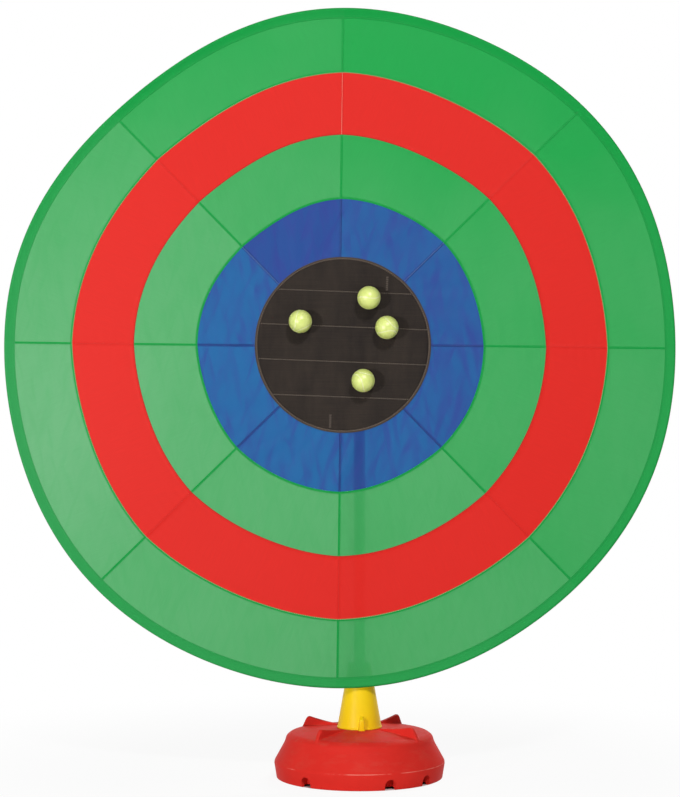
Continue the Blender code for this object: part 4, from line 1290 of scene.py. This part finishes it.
def makeCone():
    seat, top, wall, foot = cone["seat"], cone["top"], cone["wall"], cone["foot"]
    lip, bore, spigot, topRadius = foot + cone["lip"], cone["bore"], cone["spigot"], cone["topRadius"]
    bottom, lipHigh, lipTop = cone["spigotBottom"], seat + cone["lipHeight"], seat + cone["lipTop"]
    ground, bossTop = bottom + cone["spigotFloor"], bottom + cone["boreHeight"]
    boss = bore + cone["boreWall"]
    socket = turnPiece([
        (0, bottom, 0), (spigot, bottom, 0.002), (spigot, seat, 0.0004),
        (lip, seat, 0.0006), (lip, lipHigh, 0.0009), (coneRadius(lipTop), lipTop, 0.0009),
        (topRadius, top, 0.0008), (topRadius - wall, top, 0.0004),
        (coneRadius(lipHigh) - wall, lipHigh, 0.002),
        (spigot - wall, seat - wall, 0.002), (spigot - wall, ground, 0.001),
        (boss, ground, 0.001), (boss, bossTop, 0.001), (bore, bossTop, 0.0008),
        (bore, ground, 0), (0, ground, 0),
    ], cone["steps"])
    socket = finishPiece("coneSocket", socket, yellowPlastic, "cone", "cone_socket")
    buried = wall / 2
    high = seat + cone["gussetRise"]
    outline = [
        (foot - buried, seat - cone["gussetKey"]),
        (foot + cone["gussetProud"], seat - cone["gussetKey"]),
        (foot + cone["gussetProud"], seat + cone["gussetKnee"]),
        (coneRadius(high) - buried / 2, high),
        (coneRadius(high) - buried, high - wall),
        (foot - buried, lipHigh),
    ]
    steps = []
    for degrees in gussetTurns():
        rib = plateOf(outline, cone["gussetWidth"], cone["gussetRound"], outline[1:4])
        for v in rib.verts:
            v.co.y *= 1 + (cone["gussetTopShare"] - 1) * smooth(v.co.z, seat + 0.004, high)
        steps.append(("UNION", "rib", rib, degrees))
    carve(socket, steps)
    hole, mouth = collar["hole"], topRadius - wall - collar["slack"]
    end, rest = top - collar["reach"], top + collar["above"]
    ring = turnPiece([
        (hole, end, 0.0004), (mouth, end, 0.001), (mouth, rest, 0), (topRadius, rest, 0.0004),
        (topRadius, rest + collar["rim"], 0.0012), (hole, rest + collar["rim"], 0.0009),
    ], cone["steps"])
    finishPiece("poleCollar", ring, blackPlastic, "collar", "pole_collar")


makeCone()
print("cone made")

# Base

# The belt's edge carries a painted highlight
redPlastic = makeMoulded("red moulded polyethylene", "D42A24", "E2352C", 0.46, 0.0004, gloss=0.03,
                         topPatchColour="BE6C5A", paintedEdgeHighlight=(0.0375, 0.0015, "EE8A7C"))

base = {
    "steps": 240,
    "wall": 0.004,
    "outline": [  # radius, height, rounding
        (0.194, 0.0, 0.0015), (0.200, 0.037, 0.0045), (0.175, 0.082, 0.006), (0.171, 0.096, 0.004),
        (0.160, 0.104, 0.004), (0.060, 0.115, 0.003), (0.040, 0.115, 0.0012),
    ],
    "inside": [  # from the hub out to the rolled foot
        (0.1578, 0.0998, 0.003), (0.1673, 0.0935, 0.003), (0.1710, 0.0805, 0.004),
        (0.1955, 0.0365, 0.005), (0.1911, 0.0098, 0.002),
    ],
    "wellWall": 0.0035,
    "wellFoot": 0.003,
    "hubRadius": 0.0602,
    "footWidth": 0.009,
    "footHeight": 0.005,
    "finAngles": (53, 143, 233, 323),
    "finThickness": 0.009,
    "finFillet": 0.0035,
    "finRound": 0.0028,
    "finRoot": 0.058,
    "finFoot": 0.170,
    "finPeak": 0.149,
    "finRise": 0.0215,
    "finRootRise": 0.0015,
    "finFrontRise": 0.0085,  # of the front's line over the peak, which the blend rounds off
    "finBury": 0.001,
    "finHollow": (0.62, 2.4),  # straight share of the ramp and the power of the rest
    "finBlend": 0.011,
    "finStations": (  # from the peak in to the root, then from the peak out to the foot
        (0.091, 0.088, 0.083, 0.074, 0.064, 0.052, 0.040, 0.028, 0.018, 0.011, 0.007, 0.004, 0.0015),
        (0.001, 0.0035, 0.006, 0.0085, 0.011, 0.0135, 0.016, 0.0185, 0.0202, 0.021),
    ),
    "notchAngles": (50.8, 110.5, 140.8, 230.8, 290.5, 320.7),
    "notchWidth": 0.026,
    "notchHeight": 0.024,
    "notchBack": 0.174,
    "hood": (0.0045, 0.193),  # low edge, outer radius
    "recess": (-0.01, 0.22),  # low edge, outer radius, both clear of the shell
    "slotGap": 0.0006,
    "slotClear": (0.003, 0.006),  # past the spigot side and over the seat
    "screwCircle": 0.10075,
    "screwAngles": (90, 210, 330),
    "boss": (0.009, 0.0423, 0.1088),  # radius, low, high
    "pilot": (0.0029, 0.038, 0.0646),
}


def baseHeight(radius):
    # The outside of the base at this distance from the pole
    points = base["outline"]
    for (r1, z1, _), (r2, z2, _) in zip(points[2:], points[3:]):
        if r2 <= radius <= r1:
            return z2 + (z1 - z2) * (radius - r2) / (r1 - r2)
    return points[2][1] if radius > points[2][0] else points[-1][1]


def crestHeight(r):
    # A hollow ramp up to the fin's peak and a steep straight front, with a round blend between them
    root, foot, peak = base["finRoot"], base["finFoot"], base["finPeak"]
    top = baseHeight(peak) + base["finRise"]
    t = max((r - root) / (peak - root), 0)
    low, bury, (straight, power) = baseHeight(root) + base["finRootRise"], base["finBury"], base["finHollow"]
    ramp = low + (top + bury - low) * (straight * t + (1 - straight) * t**power)
    high = top + base["finFrontRise"]
    front = high + (baseHeight(foot) - bury - high) * (r - peak) / (foot - peak)
    blend = base["finBlend"]
    share = min(max(0.5 + (front - ramp) / (2 * blend), 0), 1)
    return front + (ramp - front) * share - blend * share * (1 - share)


def makeFinShape():
    # An upright fin, rounded along its crest and flared where it meets the deck
    half, flare, crest = base["finThickness"] / 2, base["finFillet"], 7
    turns = [share * math.pi / 2 for share in even(5)]
    section = [(half + flare * (1 - math.sin(t)), flare * (1 - math.cos(t))) for t in turns]
    section.insert(0, (half + flare, -0.0025))
    inward, outward = base["finStations"]
    stations = [base["finPeak"] - d for d in inward] + [base["finPeak"] + d for d in outward]
    count = 2 * (len(section) + crest) - 1

    def placed(across, along, column, row):
        r = stations[row]
        deck = baseHeight(r)
        top = max(crestHeight(r), deck - 0.0005)
        tall = top - deck
        side = 1 if column < count / 2 else -1
        index = min(column, count - 1 - column)
        if index < len(section):
            y, up = section[index]
            return Vector((r, side * y, deck + (min(up, tall * 0.6) if up > 0 else up)))
        climb = index - len(section) + 1
        turn = climb / crest * math.pi / 2
        rounding = min(half, base["finRound"], max(tall * 0.4, 0.0001))
        y = half - rounding + rounding * math.cos(turn) if climb < crest else 0.0
        return Vector((r, side * y, top - rounding + rounding * math.sin(turn)))

    bm = gridPiece(even(count - 1), even(len(stations) - 1), placed)
    bmesh.ops.holes_fill(bm, edges=[e for e in bm.edges if e.is_boundary], sides=0)
    mergeAndFace(bm)
    return bm


def roundTopped(low, inner, outer, grown):
    # A block with the outline of a rim recess, seen along its radius
    half = base["notchWidth"] / 2 + grown
    spring = base["notchHeight"] - base["notchWidth"] / 2
    arch = [(half * math.cos(math.pi * s), spring + half * math.sin(math.pi * s)) for s in even(24)]
    bm = plateOf([(half, low), *arch, (-half, low)], outer - inner)
    bmesh.ops.rotate(bm, verts=bm.verts, matrix=Matrix.Rotation(math.pi / 2, 3, "Z"))
    return moved(bm, ((inner + outer) / 2, 0, 0))


def onScrewCircle(radius, low, high, sides=32):
    # An upright cylinder where a screw stands
    bm = bmesh.new()
    bmesh.ops.create_cone(
        bm, cap_ends=True, segments=sides, radius1=radius, radius2=radius, depth=high - low
    )
    return moved(bm, (base["screwCircle"], 0, (low + high) / 2))


def makeBase():
    wall, outline = base["wall"], base["outline"]
    well, hub, _ = outline[-1]
    tube, foot = well + base["wellWall"], outline[0][0] - base["footWidth"]
    shell = turnPiece([
        *outline,
        (well, base["wellFoot"], 0.0008), (tube, base["wellFoot"], 0.0008),
        (tube, hub - wall, 0.003), (base["hubRadius"], hub - wall, 0.002),
        *base["inside"],
        (foot, base["footHeight"], 0.001), (foot, 0.0, 0.0008),
    ], base["steps"])
    shell = finishPiece("baseShell", shell, redPlastic, "base", "base_shell")
    back, gap, (inward, upward) = base["notchBack"], base["slotGap"], base["slotClear"]
    inner, outer = cone["foot"] - inward, cone["foot"] + cone["gussetProud"] + gap
    low, high = cone["seat"] - cone["gussetKey"] - gap, cone["seat"] + upward
    slot = [(inner, low), (outer, low), (outer, high), (inner, high)]
    steps = [("UNION", "fin", makeFinShape(), turn) for turn in base["finAngles"]]
    steps += [("UNION", "boss", onScrewCircle(*base["boss"], 48), turn) for turn in base["screwAngles"]]
    for kind, name, grown in (("UNION", "hood", wall), ("DIFFERENCE", "recess", 0)):
        under, outside = base[name]
        for turn in base["notchAngles"]:
            steps.append((kind, name, roundTopped(under, back - grown, outside, grown), turn))
    for turn in gussetTurns():
        steps.append(("DIFFERENCE", "slot", plateOf(slot, cone["gussetWidth"] + 2 * gap), turn))
    for turn in base["screwAngles"]:
        steps.append(("DIFFERENCE", "pilot", onScrewCircle(*base["pilot"]), turn))
    carve(shell, steps)


makeBase()
print("base made")

# Ballast ring and screws

ballast = {
    "inner": 0.0515,
    "outer": 0.150,
    "low": 0.030,
    "high": 0.042,
    "steps": 160,
    "drills": ((0.0064, 0.02, 0.0346), (0.0029, 0.03, 0.05)),  # radius, low, high
}
screw = {
    "head": (0.006, 0.0303, 0.0343),  # radius, low, high
    "shank": (0.0025, 0.0618),
    "point": 0.0643,
    "key": (0.0026, 0.0281, 0.0325),
}


def makeCastIron():
    # Cast iron under black paint: coarse sand-cast skin with rust starting in the low spots
    made, tree, here = startMaterial("painted cast iron")
    skin = addNode(tree, "TexNoise", {"Vector": here, "Scale": 260.0, "Detail": 6.0, "Roughness": 0.65})
    cloud = addNode(tree, "TexNoise", {"Vector": here, "Scale": 26.0, "Detail": 5.0})
    rust = addNode(tree, "MapRange", {"Value": cloud, "From Min": 0.55, "From Max": 0.72})
    colour = addNode(tree, "Mix", {0: rust, 6: "2B2A2A", 7: "5A3B2A"}, data_type="RGBA")
    looks = {"Base Color": colour, "Metallic": 0.3, "Roughness": 0.62}
    return endMaterial(made, looks, skin, 0.0008, 0.7)


def makePlainMetal(name, deep, light, roughness, scale):
    # A plated or drawn metal with fine marks
    made, tree, here = startMaterial(name)
    marks = addNode(tree, "TexNoise", {"Vector": here, "Scale": scale, "Detail": 4.0})
    span = {"To Min": roughness - 0.08, "To Max": roughness + 0.1}
    looks = {
        "Base Color": addNode(tree, "Mix", {0: marks, 6: deep, 7: light}, data_type="RGBA"),
        "Metallic": 1.0,
        "Roughness": addNode(tree, "MapRange", {"Value": marks, **span}),
    }
    return endMaterial(made, looks)


def makeBallast():
    inner, outer, low, high = (ballast[key] for key in ("inner", "outer", "low", "high"))
    profile = [(inner, low, 0.0012), (outer, low, 0.0025), (outer, high, 0.0025), (inner, high, 0.0012)]
    ring = turnPiece(profile, ballast["steps"])
    ring = finishPiece("ballastRing", ring, makeCastIron(), "base", "ballast_ring")
    steps = []
    for turn in base["screwAngles"]:
        steps += [("DIFFERENCE", "drill", onScrewCircle(*drill), turn) for drill in ballast["drills"]]
    carve(ring, steps)
    zinc = makePlainMetal("zinc plated steel", "9DA0A4", "C4C6C8", 0.36, 300.0)
    (head, bottom, top), (shank, end) = screw["head"], screw["shank"]
    profile = [
        (0, bottom, 0), (head, bottom, 0.001), (head, top, 0.0005), (shank, top, 0.0003),
        (shank, end, 0.0002), (0, screw["point"], 0),
    ]
    for number, turn in enumerate(base["screwAngles"], 1):
        bm = moved(turnPiece(profile, 48), (base["screwCircle"] - pole["x"], 0, 0))
        name, node = f"ballastScrew{number}", f"ballast_screw_{number}"
        piece = finishPiece(name, turnedTo(bm, turn), zinc, "base", node)
        carve(piece, [("DIFFERENCE", "key", onScrewCircle(*screw["key"], 6), turn)])


makeBallast()
print("ballast made")

# The rod and its ferrule stay as the CAD made them, inside the hem

rodResin = makeMoulded("pultruded glass fibre", "C9C3AC", "DAD5C0", 0.42, 0.0001)
brass = makePlainMetal("drawn brass", "A88545", "C9A562", 0.3, 500.0)
for node, material in (("hoop_rod", rodResin), ("hoop_ferrule", brass)):
    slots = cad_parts[node].data.materials
    slots.clear()
    slots.append(material)
print("hoop finished")
